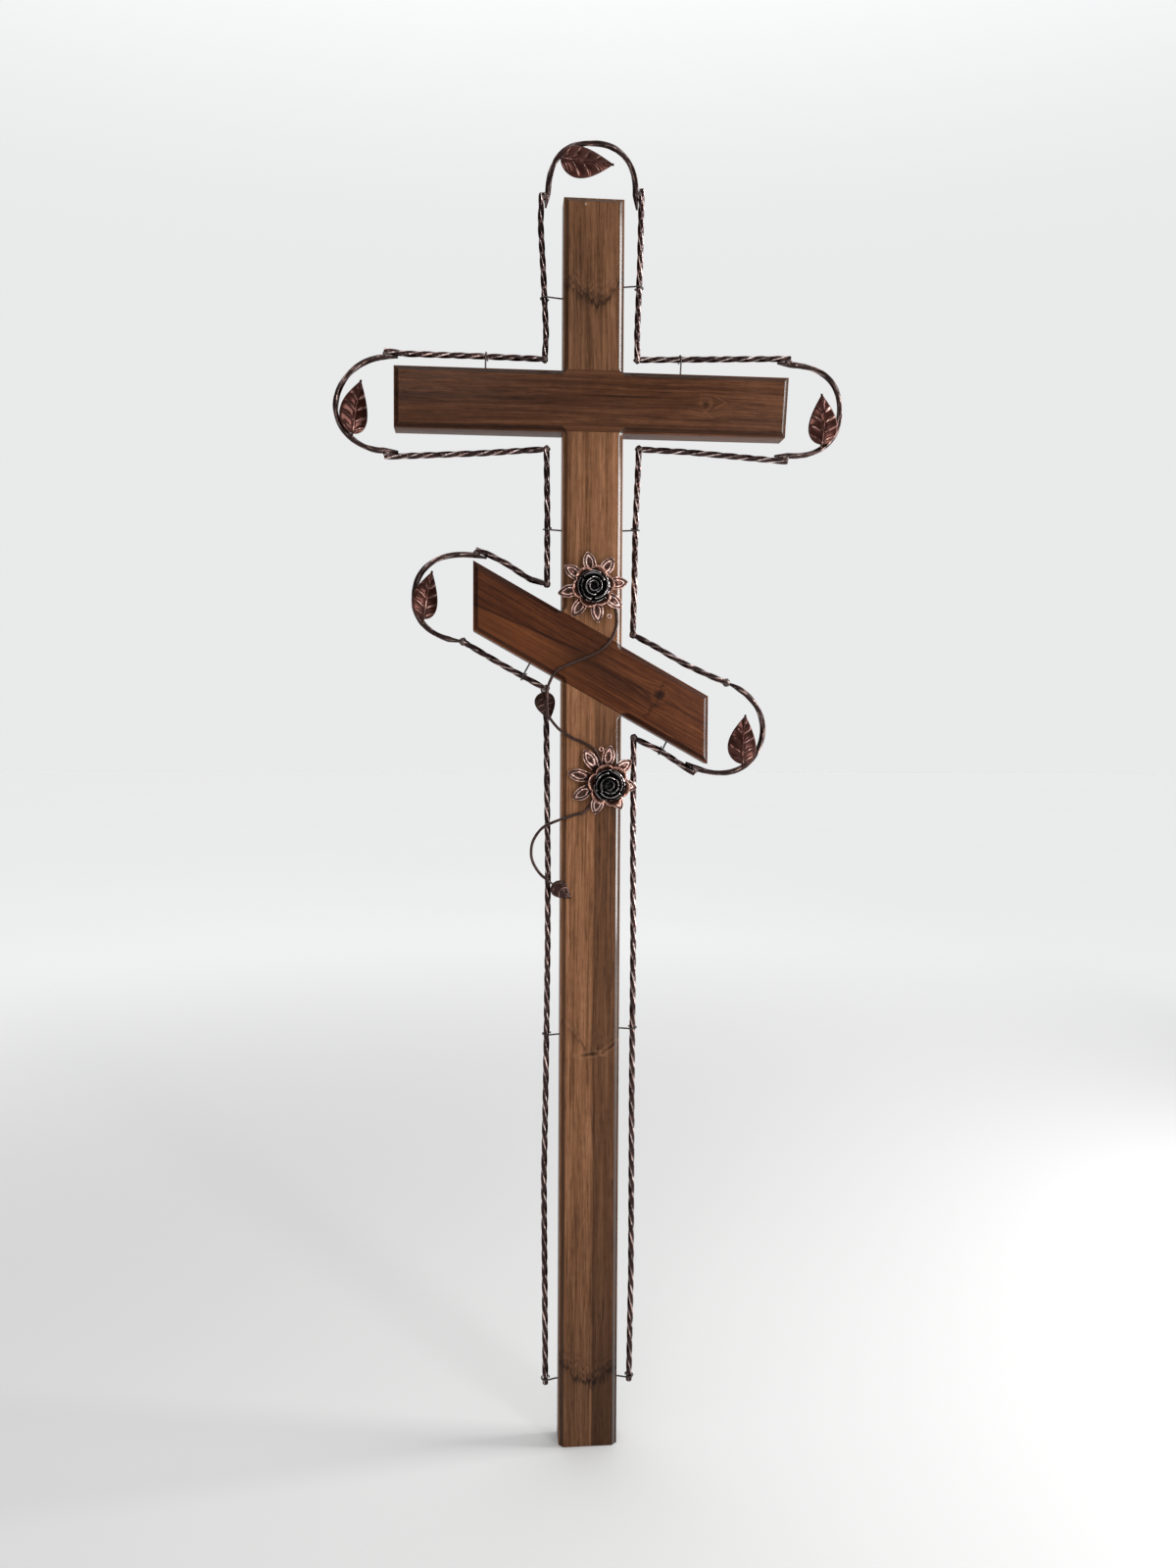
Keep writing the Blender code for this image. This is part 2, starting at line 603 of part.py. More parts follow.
def leaf_sheet(name, length, width, crown, hand, fold=0.0, stalk=LEAF_STALK):
    """Open mesh of an embossed leaf: foot at the origin, tip along +Z, raised towards -Y."""
    bm = bmesh.new()
    grid = []
    for i in range(-1, LEAF_ROWS + 1):
        share = max(i, 0) / LEAF_ROWS
        half = max(width / 2 * leaf_width(share), LEAF_SHEET)
        along = 0.0 if i < 0 else stalk + share * (length - stalk)
        bend = hand * LEAF_BEND * math.sin(math.pi * share)
        row = []
        for j in range(LEAF_COLUMNS + 1):
            across = 2 * j / LEAF_COLUMNS - 1
            veins = LEAF_VEIN * math.cos(2 * math.pi * LEAF_VEINS * (share + 0.2 * abs(across)))
            rise = crown * (1 - across * across) * math.sin(math.pi * (0.1 + 0.85 * share))
            rise += fold * (1 - abs(across)) * math.sin(math.pi * (0.1 + 0.85 * share))
            rise += veins * math.sin(math.pi * abs(across)) if i > 0 else 0.0
            rise += LEAF_RIB if 2 * j == LEAF_COLUMNS else 0.0
            row.append(bm.verts.new((bend + across * half, -rise, along)))
        grid.append(row)
    for low, high in zip(grid, grid[1:]):
        for j in range(LEAF_COLUMNS):
            bm.faces.new((low[j], low[j + 1], high[j + 1], high[j]))
    return mesh_from(name, bm)


def sheet_object(name, mesh, thickness, material, placing):
    """A pressed sheet: its open surface thickened towards the back."""
    obj = placed(name, mesh, material)
    obj.matrix_world = placing
    mesh.shade_smooth()
    solid = obj.modifiers.new("sheet", "SOLIDIFY")
    solid.thickness = thickness
    solid.offset = -1.0
    return obj


def make_iron(lines, arcs):
    step = QUARTER_TURN / SECTIONS_PER_QUARTER
    for name, (edge, line) in lines.items():
        bar_along(name, trimmed_start(name, edge, line), IRON_BAR, step, QUARTER_TURN)
    for name, line in arcs.items():
        bar_along(name, line, ARC_BAR, ARC_STEP, ARC_QUARTER_TURN, tip=ARC_TIP)


def leaf_placing(foot, depth, turn, yaw=0.0):
    """Foot at a place in X and Z; turn is clockwise from straight up, yaw turns the blade about its rib."""
    return (
        Matrix.Translation((foot.x, depth, foot.y))
        @ Matrix.Rotation(math.radians(turn), 4, "Y")
        @ Matrix.Rotation(math.radians(yaw), 4, "Z")
    )


def make_leaves(arcs):
    """A leaf at each end of the boards, its foot in front of the arc."""
    leaves = {
        "leaf_top": ("arc_top", 0.27, 94.0, 1.03, 0.0, 1),
        "leaf_left": ("arc_left", 0.72, 10.0, 1.02, 35.0, -1),
        "leaf_right": ("arc_right", 0.74, 0.0, 0.99, 0.0, 1),
        "leaf_slant_left": ("arc_slant_left", 0.736, 11.0, 0.94, 30.0, -1),
        "leaf_slant_right": ("arc_slant_right", 0.647, 3.0, 0.98, 0.0, -1),
    }
    for name, (arc, share, turn, size, yaw, hand) in leaves.items():
        foot, _ = point_along(arcs[arc], length_of(arcs[arc]) * share)
        mesh = leaf_sheet(name, LEAF_LENGTH * size, LEAF_WIDTH * size, LEAF_CROWN, hand)
        depth = -(ARC_REACH + TOUCH + LEAF_SHEET)
        sheet_object(name, mesh, LEAF_SHEET, LEAF_COPPER, leaf_placing(foot, depth, turn, yaw))


def wire_object(name, points, diameter, sides, material):
    """A round wire through points in space."""
    curve = bpy.data.curves.new(name, "CURVE")
    curve.dimensions = "3D"
    curve.bevel_depth = diameter / 2
    curve.bevel_resolution = sides // 2 - 2
    curve.use_fill_caps = True
    spline = curve.splines.new("POLY")
    spline.points.add(len(points) - 1)
    for point, place in zip(spline.points, points):
        point.co = (*place, 1)
    return placed(name, curve, material)


def make_ties(lines):
    """Wires out of the boards' edges, each wound once round a bar."""
    wrap = (BAR_REACH + TIE_WIRE / 2 + TOUCH) / math.cos(TIE_WRAP / TIE_WRAP_STEPS / 2)
    for name, (bar, share) in TIES.items():
        edge, line = lines[bar]
        middle, along = point_along(line, length_of(line) * share)
        origin, _, out = EDGES[edge]
        gap = (middle - origin).dot(out)
        root = middle - out * (gap - TOUCH)
        stub = middle - out * (gap - TIE_STUB)
        first = math.acos(wrap / (gap - TIE_STUB))
        points = [(root.x, 0.0, root.y), (stub.x, 0.0, stub.y)]
        for step in range(TIE_WRAP_STEPS + 1):
            share_wound = step / TIE_WRAP_STEPS
            angle = first + TIE_WRAP * share_wound
            pitch = along * (TIE_WIRE * 1.3 * share_wound)
            place = middle - out * wrap * math.cos(angle) - pitch
            points.append((place.x, -wrap * math.sin(angle), place.y))
        wire_object(name, points, TIE_WIRE, 4, TIE_STEEL)


def star_rise(share):
    """How far the outer petals arch forward at a share of their length."""
    return PETAL_RISE * math.sin(math.pi * share) ** 2


def cup_rise(share):
    """How far the cup's petals stand forward at a share of their length."""
    return CUP_HEIGHT * share


def petal_sheet(name, petals, radius, width, rise, turn, ridge):
    """Open mesh of a pressed star: petals round a flat hub, each raised towards -Y by rise(its share)."""
    rows, columns = 4, 4
    bm = bmesh.new()
    pitch = math.pi / petals
    inner = HUB_RADIUS * math.cos(pitch)
    hub_half = HUB_RADIUS * math.sin(pitch)

    def place(middle, distance, sideways, height):
        radial = Vector((math.cos(middle), math.sin(middle)))
        point = radial * distance + Vector((-radial.y, radial.x)) * sideways
        return bm.verts.new((point.x, -height, point.y))

    hub = []
    for k in range(petals):
        for j in range(columns):
            hub.append(place(turn + 2 * pitch * k, inner, (2 * j / columns - 1) * hub_half, 0.0))
    bm.faces.new(hub)
    for k in range(petals):
        low = [hub[(k * columns + j) % len(hub)] for j in range(columns + 1)]
        for i in range(1, rows + 1):
            share = math.sin(math.pi / 2 * i / rows)
            distance = inner + (radius - inner) * share
            bell = max(math.sin(math.pi * share**1.5), 0.0) ** 0.8
            spread = hub_half * (1 - share) ** 2 + width / 2 * bell
            room = distance * math.tan(pitch) - PETAL_SHEET
            half = max(min(spread, room), PETAL_SHEET)
            high = []
            for j in range(columns + 1):
                side = 2 * j / columns - 1
                raised = ridge * math.sin(math.pi * share) if abs(side) == 0.5 else 0.0
                high.append(place(turn + 2 * pitch * k, distance, side * half, rise(share) + raised))
            for j in range(columns):
                bm.faces.new((low[j], high[j], high[j + 1], low[j + 1]))
            low = high
    bmesh.ops.recalc_face_normals(bm, faces=bm.faces)
    if bm.faces[0].normal.y > 0:
        bmesh.ops.reverse_faces(bm, faces=bm.faces)
    return mesh_from(name, bm)


def rose_profile():
    """Radius and height of a rose's turned form, from the middle of its back to the middle of its front."""
    return [
        (0.35 * ROSE_RADIUS, 0.0),
        (0.62 * ROSE_RADIUS, 0.13 * ROSE_HEIGHT),
        (0.90 * ROSE_RADIUS, 0.36 * ROSE_HEIGHT),
        (1.00 * ROSE_RADIUS, 0.62 * ROSE_HEIGHT),
        (0.93 * ROSE_RADIUS, 0.88 * ROSE_HEIGHT),
        (0.80 * ROSE_RADIUS, 0.70 * ROSE_HEIGHT),
        (0.66 * ROSE_RADIUS, 0.96 * ROSE_HEIGHT),
        (0.52 * ROSE_RADIUS, 0.76 * ROSE_HEIGHT),
        (0.36 * ROSE_RADIUS, 1.00 * ROSE_HEIGHT),
        (0.18 * ROSE_RADIUS, 0.80 * ROSE_HEIGHT),
    ]


def rose_rings():
    """Rings of the rose: each row of petals has three waves, staggered from row to row."""
    rings = []
    for row, (ring_radius, height) in enumerate(rose_profile()):
        points = []
        for k in range(ROSE_SIDES):
            angle = 2 * math.pi * k / ROSE_SIDES
            wave = math.cos(3 * angle + 2.1 * (row // 2)) if row > 1 else 0.0
            reach = ring_radius * (1 + 0.06 * wave)
            lift = height + 0.05 * ROSE_HEIGHT * wave
            points.append((reach * math.cos(angle), -lift, reach * math.sin(angle)))
        rings.append(points)
    return rings


def make_flower(level, centre, turn, lean):
    """A rose: a pressed star of petals, a cup of six petals inside it, and the rose itself."""
    hub_front = FRONT - VINE_WIRE - 2 * TOUCH - PETAL_SHEET
    star = petal_sheet("star", PETALS, PETAL_RADIUS, PETAL_WIDTH, star_rise, turn, PETAL_RIDGE)
    at = Matrix.Translation((centre.x, hub_front, centre.y))
    sheet_object(f"petals_{level}", star, PETAL_SHEET, PETAL_COPPER, at)

    inner = HUB_RADIUS * math.cos(math.pi / PETALS)
    share = (HUB_RADIUS + Vector(lean).length - inner) / (PETAL_RADIUS - inner)
    neck = star_rise(share) + PETAL_RIDGE * math.sin(math.pi * share) + TOUCH
    cup_front = hub_front - neck - PETAL_SHEET
    cup = petal_sheet("cup", CUP_PETALS, CUP_RADIUS, CUP_WIDTH, cup_rise, turn, 0.0)
    at = Matrix.Translation((centre.x + lean[0], cup_front, centre.y + lean[1]))
    sheet_object(f"cup_{level}", cup, PETAL_SHEET, PETAL_COPPER, at)

    rose = placed(f"rose_{level}", loft("rose", rose_rings()), ROSE_BLACK)
    rose.location = (centre.x + lean[0], cup_front - TOUCH, centre.y + lean[1])


def smooth_route(points, step):
    """Points about a step apart on a Catmull-Rom curve through points in space."""
    knots = [Vector(point) for point in points]
    knots = [2 * knots[0] - knots[1], *knots, 2 * knots[-1] - knots[-2]]
    route = []
    for before, a, b, after in zip(knots, knots[1:], knots[2:], knots[3:]):
        count = max(1, round((b - a).length / step))
        for i in range(count):
            t = i / count
            route.append(
                0.5 * ((2 * a) + (b - before) * t + (2 * before - 5 * a + 4 * b - after) * t**2
                       + (3 * a - before - 3 * b + after) * t**3)
            )
    route.append(knots[-2])
    return route


def make_vine(lines):
    """Two wires from the roses: an S between them, past the iron's corner, and one to a lower leaf."""
    upper = SLANT_MIDDLE + Vector(FLOWER_UPPER)
    lower = SLANT_MIDDLE + Vector(FLOWER_LOWER)
    corner = lines["iron_low_left"][1][0]
    wood = FRONT - TOUCH - VINE_WIRE / 2
    leaf_depth = -(BAR_REACH + TOUCH + LEAF_SHEET)
    iron = leaf_depth - VINE_LEAF_FOLD - LEAF_CROWN / 2 - LEAF_RIB - TOUCH - VINE_WIRE / 2

    first = [(upper.x + x, wood, upper.y + z) for x, z in VINE_OFF_UPPER_ROSE]
    first += [(corner.x + x, wood + share * (iron - wood), corner.y + z) for x, z, share in VINE_PAST_CORNER]
    first += [(lower.x + x, wood, lower.y + z) for x, z in VINE_TO_LOWER_ROSE]
    wire_object("vine_upper", smooth_route(first, VINE_STEP), VINE_WIRE, 6, TWISTED_IRON)
    second = [(lower.x + x, wood + share * VINE_SINK, lower.y + z) for x, z, share in VINE_BELOW_LOWER_ROSE]
    wire_object("vine_lower", smooth_route(second, VINE_STEP), VINE_WIRE, 6, TWISTED_IRON)

    leaf = leaf_sheet("vine_leaf", VINE_LEAF_LENGTH, VINE_LEAF_WIDTH, LEAF_CROWN / 2, 0, fold=VINE_LEAF_FOLD)
    placing = leaf_placing(corner + Vector(VINE_LEAF_UPPER_FOOT), leaf_depth, VINE_LEAF_UPPER_TURN)
    sheet_object("vine_leaf_upper", leaf, LEAF_SHEET, LEAF_COPPER, placing)
    length, width = VINE_LEAF_LENGTH * VINE_LEAF_LOWER_SCALE, VINE_LEAF_WIDTH * VINE_LEAF_LOWER_SCALE
    leaf = leaf_sheet("vine_leaf", length, width, LEAF_CROWN, 0)
    end, before = Vector(second[-1]), Vector(second[-2])
    foot = end + (end - before).normalized() * 3 * TOUCH
    placing = leaf_placing(Vector((foot.x, foot.z)), FRONT - TOUCH - LEAF_SHEET, VINE_LEAF_LOWER_TURN)
    sheet_object("vine_leaf_lower", leaf, LEAF_SHEET, LEAF_COPPER, placing)
    for level, anchor, (x, z) in (("upper", upper, EYE_UPPER), ("lower", lower, EYE_LOWER)):
        bpy.ops.mesh.primitive_torus_add(
            major_radius=EYE_RADIUS, minor_radius=EYE_WIRE / 2, major_segments=10, minor_segments=5,
            location=(anchor.x + x, FRONT - TOUCH - EYE_WIRE / 2, anchor.y + z), rotation=(math.pi / 2, 0, 0),
        )
        eye = bpy.context.object
        eye.name = f"eye_{level}"
        eye.data.materials.append(TWISTED_IRON)
        for collection in eye.users_collection:
            collection.objects.unlink(eye)
        PARTS.objects.link(eye)


def main():
    lines = iron_lines()
    arcs = arc_lines(lines)
    make_boards()
    make_iron(lines, arcs)
    make_leaves(arcs)
    make_ties(lines)
    make_flower("upper", SLANT_MIDDLE + Vector(FLOWER_UPPER), FLOWER_UPPER_TURN, (0, 0))
    make_flower("lower", SLANT_MIDDLE + Vector(FLOWER_LOWER), FLOWER_LOWER_TURN, ROSE_LEAN)
    make_vine(lines)


main()
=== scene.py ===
"""Looks of the three-barred grave cross: stained pine, rubbed iron, leaves, black roses and a vine."""

import math
import random

import bpy
from mathutils import Matrix, Vector


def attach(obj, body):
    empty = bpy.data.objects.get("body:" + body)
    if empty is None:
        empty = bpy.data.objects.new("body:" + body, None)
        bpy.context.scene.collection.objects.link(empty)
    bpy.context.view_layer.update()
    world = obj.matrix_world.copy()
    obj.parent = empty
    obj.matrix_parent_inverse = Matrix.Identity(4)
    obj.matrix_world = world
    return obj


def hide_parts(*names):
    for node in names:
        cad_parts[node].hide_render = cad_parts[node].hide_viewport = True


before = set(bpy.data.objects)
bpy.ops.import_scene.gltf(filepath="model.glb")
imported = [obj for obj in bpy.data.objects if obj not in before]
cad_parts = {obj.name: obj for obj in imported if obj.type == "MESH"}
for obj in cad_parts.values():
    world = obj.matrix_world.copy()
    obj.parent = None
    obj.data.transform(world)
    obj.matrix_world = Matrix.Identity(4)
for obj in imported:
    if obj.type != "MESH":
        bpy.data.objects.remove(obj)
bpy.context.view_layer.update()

# The same sizes as the solids, in metres
BOARD_WIDTH = 0.095
BOARD_THICKNESS = 0.045
POST_HEIGHT = 2.000
CROSSBAR_LENGTH = 0.622
CROSSBAR_DROP = 0.314
SLANT_SPAN = 0.376
SLANT_DROP = 0.410
SLANT_TILT = math.radians(29.2)
EASED_EDGE = 0.0009

IRON_BAR = 0.0080
QUARTER_TURN = 0.027
ARC_BAR = 0.0078
ARC_QUARTER_TURN = 0.075
ARC_TIP = 0.022
ARC_TIP_SCALE = 0.4
ARC_SEAT = 0.84  # how close an arc's tip lies to its bar, where flats and not corners meet
TOP_RIGHT_SPARE = 0.010
FOOT_CLEAR = 0.095
TOUCH = 0.0003
WELD_AT_CORNER = 0.0058
WELD_AT_TIP = 0.0060

# Inner corners: gaps from the post's edge and from the bar's edge to the middle of the iron
GAP_UPPER_LEFT = (0.0285, 0.0215)
GAP_UPPER_RIGHT = (0.0240, 0.0250)
GAP_UNDER_LEFT = (0.0250, 0.0240)
GAP_UNDER_RIGHT = (0.0275, 0.0205)
GAP_SLANT_UPPER_LEFT = (0.0235, 0.0280)
GAP_SLANT_UPPER_RIGHT = (0.0200, 0.0270)
GAP_SLANT_UNDER_LEFT = (0.0245, 0.0230)
GAP_SLANT_UNDER_RIGHT = (0.0225, 0.0215)

# Free ends: gap from the board's edge, and how far the bar runs past the board's end
TOP_LEFT_END = (0.0340, 0.011)
TOP_RIGHT_END = (0.0289, 0.024)
LEFT_ARM_TOP_END = (0.0264, 0.016)
LEFT_ARM_UNDER_END = (0.0421, 0.016)
RIGHT_ARM_TOP_END = (0.0349, 0.009)
RIGHT_ARM_UNDER_END = (0.0339, 0.006)
SLANT_LEFT_TOP_END = (0.0184, -0.004)
SLANT_LEFT_UNDER_END = (0.0231, 0.016)
SLANT_RIGHT_TOP_END = (0.0357, 0.033)
SLANT_RIGHT_UNDER_END = (0.0231, -0.018)
LOW_LEFT_GAP = 0.0210
LOW_RIGHT_GAP = 0.0222

# Bends of each twisted bar: share of its length, and shift away from the board
BOWS = {
    "iron_top_left": ((0.15, -0.0030), (0.50, -0.0005), (0.82, 0.0026)),
    "iron_top_right": ((0.15, -0.0014), (0.55, 0.0004)),
    "iron_left_arm_top": ((0.40, -0.0008), (0.88, -0.0032)),
    "iron_left_arm_under": ((0.40, 0.0018), (0.85, 0.0007)),
    "iron_right_arm_top": ((0.50, 0.0000),),
    "iron_right_arm_under": ((0.32, -0.0020), (0.75, -0.0008)),
    "iron_mid_left": ((0.50, -0.0010),),
    "iron_mid_right": ((0.42, -0.0015), (0.75, -0.0002)),
    "iron_slant_left_top": ((0.22, -0.0050), (0.58, 0.0012), (0.85, 0.0020)),
    "iron_slant_left_under": ((0.50, 0.0012),),
    "iron_slant_right_top": ((0.25, -0.0007), (0.55, -0.0040), (0.80, -0.0025)),
    "iron_slant_right_under": ((0.42, -0.0040),),
    "iron_low_left": ((0.25, -0.0034), (0.36, -0.0032), (0.55, -0.0005), (0.70, 0.0026), (0.84, 0.0012)),
    "iron_low_right": ((0.15, 0.0002), (0.32, 0.0019), (0.53, 0.0013), (0.83, 0.0023)),
}

# Arcs: bulge from the middle of the chord, and squareness of the first and second half
ARC_TOP_BULGE = (0.004, 0.079)
ARC_TOP_SQUARENESS = (2.6, 2.2)
ARC_LEFT_BULGE = (-0.075, -0.009)
ARC_LEFT_SQUARENESS = (2.05, 1.75)
ARC_RIGHT_BULGE = (0.083, -0.003)
ARC_RIGHT_SQUARENESS = (2.5, 2.25)
ARC_SLANT_LEFT_BULGE = (-0.084, 0.005)
ARC_SLANT_LEFT_SQUARENESS = (2.4, 2.1)
ARC_SLANT_RIGHT_BULGE = (0.080, -0.028)
ARC_SLANT_RIGHT_SQUARENESS = (2.05, 2.25)

# Leaves: arc, share of the way along it, turn, size, yaw, and the side that the middle bows to
LEAF_LENGTH = 0.088
LEAF_WIDTH = 0.050
LEAF_STALK = 0.006
LEAF_BEND = 0.003
LEAF_SHEET = 0.0014
LEAF_CROWN = 0.0055
LEAF_RIB = 0.0016
LEAVES = {
    "leaf_top": ("arc_top", 0.27, 94.0, 1.03, 0.0, 1),
    "leaf_left": ("arc_left", 0.72, 10.0, 1.02, 35.0, -1),
    "leaf_right": ("arc_right", 0.74, 0.0, 0.99, 0.0, 1),
    "leaf_slant_left": ("arc_slant_left", 0.736, 11.0, 0.94, 30.0, -1),
    "leaf_slant_right": ("arc_slant_right", 0.647, 3.0, 0.98, 0.0, -1),
}

# Wire ties: bar, and share of the way along it
TIE_WIRE = 0.0026
TIE_STUB = 0.004
TIE_WRAP = math.radians(315)
TIES = {
    "tie_top_left": ("iron_top_left", 0.37),
    "tie_top_right": ("iron_top_right", 0.425),
    "tie_left_arm": ("iron_left_arm_top", 0.37),
    "tie_right_arm": ("iron_right_arm_top", 0.28),
    "tie_mid_left": ("iron_mid_left", 0.60),
    "tie_mid_right": ("iron_mid_right", 0.44),
    "tie_slant_left": ("iron_slant_left_under", 0.28),
    "tie_slant_right": ("iron_slant_right_under", 0.43),
    "tie_low_left": ("iron_low_left", 0.49),
    "tie_low_right": ("iron_low_right", 0.445),
    "tie_foot_left": ("iron_low_left", 0.992),
    "tie_foot_right": ("iron_low_right", 0.992),
}

FLOWER_UPPER = (0.000, 0.119)
FLOWER_LOWER = (0.017, -0.185)
FLOWER_UPPER_TURN = math.radians(10)
FLOWER_LOWER_TURN = math.radians(-12)
PETALS = 8
PETAL_RADIUS = 0.056
PETAL_WIDTH = 0.019
PETAL_SHEET = 0.0013
PETAL_RISE = 0.0045
PETAL_RIDGE = 0.0018
HUB_RADIUS = 0.015
CUP_PETALS = 6
CUP_RADIUS = 0.0335
CUP_HEIGHT = 0.012
CUP_HOLE = 0.004
ROSE_RADIUS = 0.0250
ROSE_HEIGHT = 0.024
ROSE_PETAL = 0.0007
ROSE_LEAN = (0.009, -0.008)
# Rows of a bud's petals: count, radius at the foot and the lip, height of each, and overlap
ROSE_ROWS = (
    (4, 0.66, 0.98, 0.08, 0.62, 0.98),
    (3, 0.46, 0.76, 0.12, 0.86, 1.02),
    (2, 0.28, 0.50, 0.16, 0.98, 1.08),
    (2, 0.08, 0.22, 0.25, 0.92, 1.20),
)

VINE_WIRE = 0.0048
VINE_LEAF_LENGTH = 0.052
VINE_LEAF_WIDTH = 0.036
VINE_LEAF_FOLD = 0.0060
VINE_LEAF_UPPER_FOOT = (-0.008, 0.000)
VINE_LEAF_UPPER_TURN = 164.0
VINE_LEAF_LOWER_TURN = 128.0
VINE_LEAF_LOWER_SCALE = 0.85
VINE_SINK = 0.004
# Routes in X and Z. A third number is the share of the way back from the board's face
VINE_OFF_UPPER_ROSE = (
    (0.0120, -0.0040), (0.0300, -0.0170), (0.0374, -0.0357), (0.0384, -0.0587), (0.0305, -0.0801),
    (0.0145, -0.0980), (-0.0105, -0.1107), (-0.0372, -0.1217),
)
VINE_PAST_CORNER = (
    (0.0150, 0.0272, 0.0), (0.0060, 0.0130, 0.5), (0.0010, -0.0050, 1.0),
    (0.0018, -0.0375, 1.0), (0.0070, -0.0490, 1.0), (0.0176, -0.0621, 0.5),
)
VINE_TO_LOWER_ROSE = (
    (-0.0630, 0.0757), (-0.0450, 0.0649), (-0.0332, 0.0603), (-0.0116, 0.0463), (-0.0010, 0.0200),
    (0.0000, 0.0050),
)
VINE_BELOW_LOWER_ROSE = (
    (-0.0060, -0.0040, 0.0), (-0.0236, -0.0470, 0.0), (-0.0470, -0.0566, 0.0), (-0.0754, -0.0666, 0.0),
    (-0.0952, -0.0773, 1.0), (-0.1088, -0.0960, 1.0), (-0.1126, -0.1152, 1.0), (-0.1095, -0.1322, 1.0),
    (-0.0982, -0.1503, 1.0), (-0.0842, -0.1617, 0.0),
)
EYE_RADIUS = 0.0031
EYE_WIRE = 0.0020
EYE_UPPER = (0.027, -0.0445)
EYE_LOWER = (-0.002, 0.0485)

FRONT = -BOARD_THICKNESS / 2
HALF = BOARD_WIDTH / 2
CROSSBAR_HEIGHT = POST_HEIGHT - CROSSBAR_DROP
SLANT_HEIGHT = CROSSBAR_HEIGHT - SLANT_DROP
BAR_REACH = IRON_BAR / math.sqrt(2)
ARC_REACH = ARC_BAR / math.sqrt(2)
SLANT_ALONG = Vector((math.cos(SLANT_TILT), -math.sin(SLANT_TILT)))
SLANT_OUT = Vector((math.sin(SLANT_TILT), math.cos(SLANT_TILT)))
SLANT_MIDDLE = Vector((0.0, SLANT_HEIGHT))
# Board edges that iron runs beside: a point, the direction along and the way out
EDGES = {
    "post_left": (Vector((-HALF, 0)), Vector((0, 1)), Vector((-1, 0))),
    "post_right": (Vector((HALF, 0)), Vector((0, 1)), Vector((1, 0))),
    "crossbar_top": (Vector((0, CROSSBAR_HEIGHT + HALF)), Vector((1, 0)), Vector((0, 1))),
    "crossbar_under": (Vector((0, CROSSBAR_HEIGHT - HALF)), Vector((1, 0)), Vector((0, -1))),
    "slant_top": (SLANT_MIDDLE + SLANT_OUT * HALF, SLANT_ALONG, SLANT_OUT),
    "slant_under": (SLANT_MIDDLE - SLANT_OUT * HALF, SLANT_ALONG, -SLANT_OUT),
}

SMALL_KNOT = 0.008
NAIL_HOLE = (0.780, 0.600, 0.480)
REDDER = (0.80, 0.66, 0.62)


# Materials
class Field:
    """A value that varies over a surface. Arithmetic with fields and numbers makes math nodes."""

    def __init__(self, nodes, socket):
        self.nodes = nodes
        self.socket = socket

    def __add__(self, other):
        return self.nodes.math("ADD", self, other)

    def __sub__(self, other):
        return self.nodes.math("SUBTRACT", self, other)

    def __rsub__(self, other):
        return self.nodes.math("SUBTRACT", other, self)

    def __mul__(self, other):
        return self.nodes.math("MULTIPLY", self, other)

    def __truediv__(self, other):
        return self.nodes.math("DIVIDE", self, other)

    def __abs__(self):
        return self.nodes.math("ABSOLUTE", self)


class Nodes:
    """Short names for the nodes of a material or a world. Arguments are fields or constants."""

    def __init__(self, owner):
        owner.use_nodes = True
        self.owner = owner
        self.tree = owner.node_tree

    def put(self, socket, value):
        if isinstance(value, Field):
            self.tree.links.new(value.socket, socket)
        elif socket.type == "RGBA":
            socket.default_value = (*value, 1.0)
        else:
            socket.default_value = value

    def node(self, kind, inputs, output=0, **settings):
        node = self.tree.nodes.new("ShaderNode" + kind)
        for key, value in settings.items():
            setattr(node, key, value)
        for key, value in inputs.items():
            self.put(node.inputs[key], value)
        return Field(self, node.outputs[output])

    def math(self, operation, a, b=0.0):
        return self.node("Math", {0: a, 1: b}, operation=operation)

    def dot(self, vector, direction):
        return self.node("VectorMath", {0: vector, 1: direction}, "Value", operation="DOT_PRODUCT")

    def coordinates(self, kind="Object"):
        return self.node("TexCoord", {}, kind)

    def noise(self, vector, scale, detail=3.0, roughness=0.55, distortion=0.0):
        inputs = {"Vector": vector, "Scale": scale, "Detail": detail, "Roughness": roughness}
        return self.node("TexNoise", {**inputs, "Distortion": distortion}, "Fac")

    def smooth(self, value, low, high, to_low=0.0, to_high=1.0):
        inputs = {"Value": value, "From Min": low, "From Max": high, "To Min": to_low, "To Max": to_high}
        return self.node("MapRange", inputs, "Result", interpolation_type="SMOOTHSTEP")

    def bell(self, distance, width):
        """1 where distance is 0, falling off smoothly over width."""
        ratio = distance / width
        return self.math("POWER", math.e, ratio * ratio * -1.0)

    def mix(self, factor, a, b, blend="MIX"):
        return self.node("Mix", {"Factor": factor, 6: a, 7: b}, 2, data_type="RGBA", blend_type=blend)

    def ramp(self, value, stops):
        """Grey level by value, through stops of (value, level)."""
        low, high = stops[0][0], stops[-1][0]
        node = self.tree.nodes.new("ShaderNodeValToRGB")
        self.put(node.inputs[0], (value - low) / (high - low))
        elements = node.color_ramp.elements
        for element, (_, level) in zip(elements, (stops[0], stops[-1])):
            element.color = (level, level, level, 1)
        for at, level in stops[1:-1]:
            elements.new((at - low) / (high - low)).color = (level, level, level, 1)
        return Field(self, node.outputs["Color"])

    def bump(self, height, distance, strength):
        return self.node("Bump", {"Height": height, "Distance": distance, "Strength": strength}, "Normal")

    def finish(self, **inputs):
        shader = self.tree.nodes["Principled BSDF"]
        for key, value in inputs.items():
            self.put(shader.inputs[key.replace("_", " ")], value)
        return self.owner


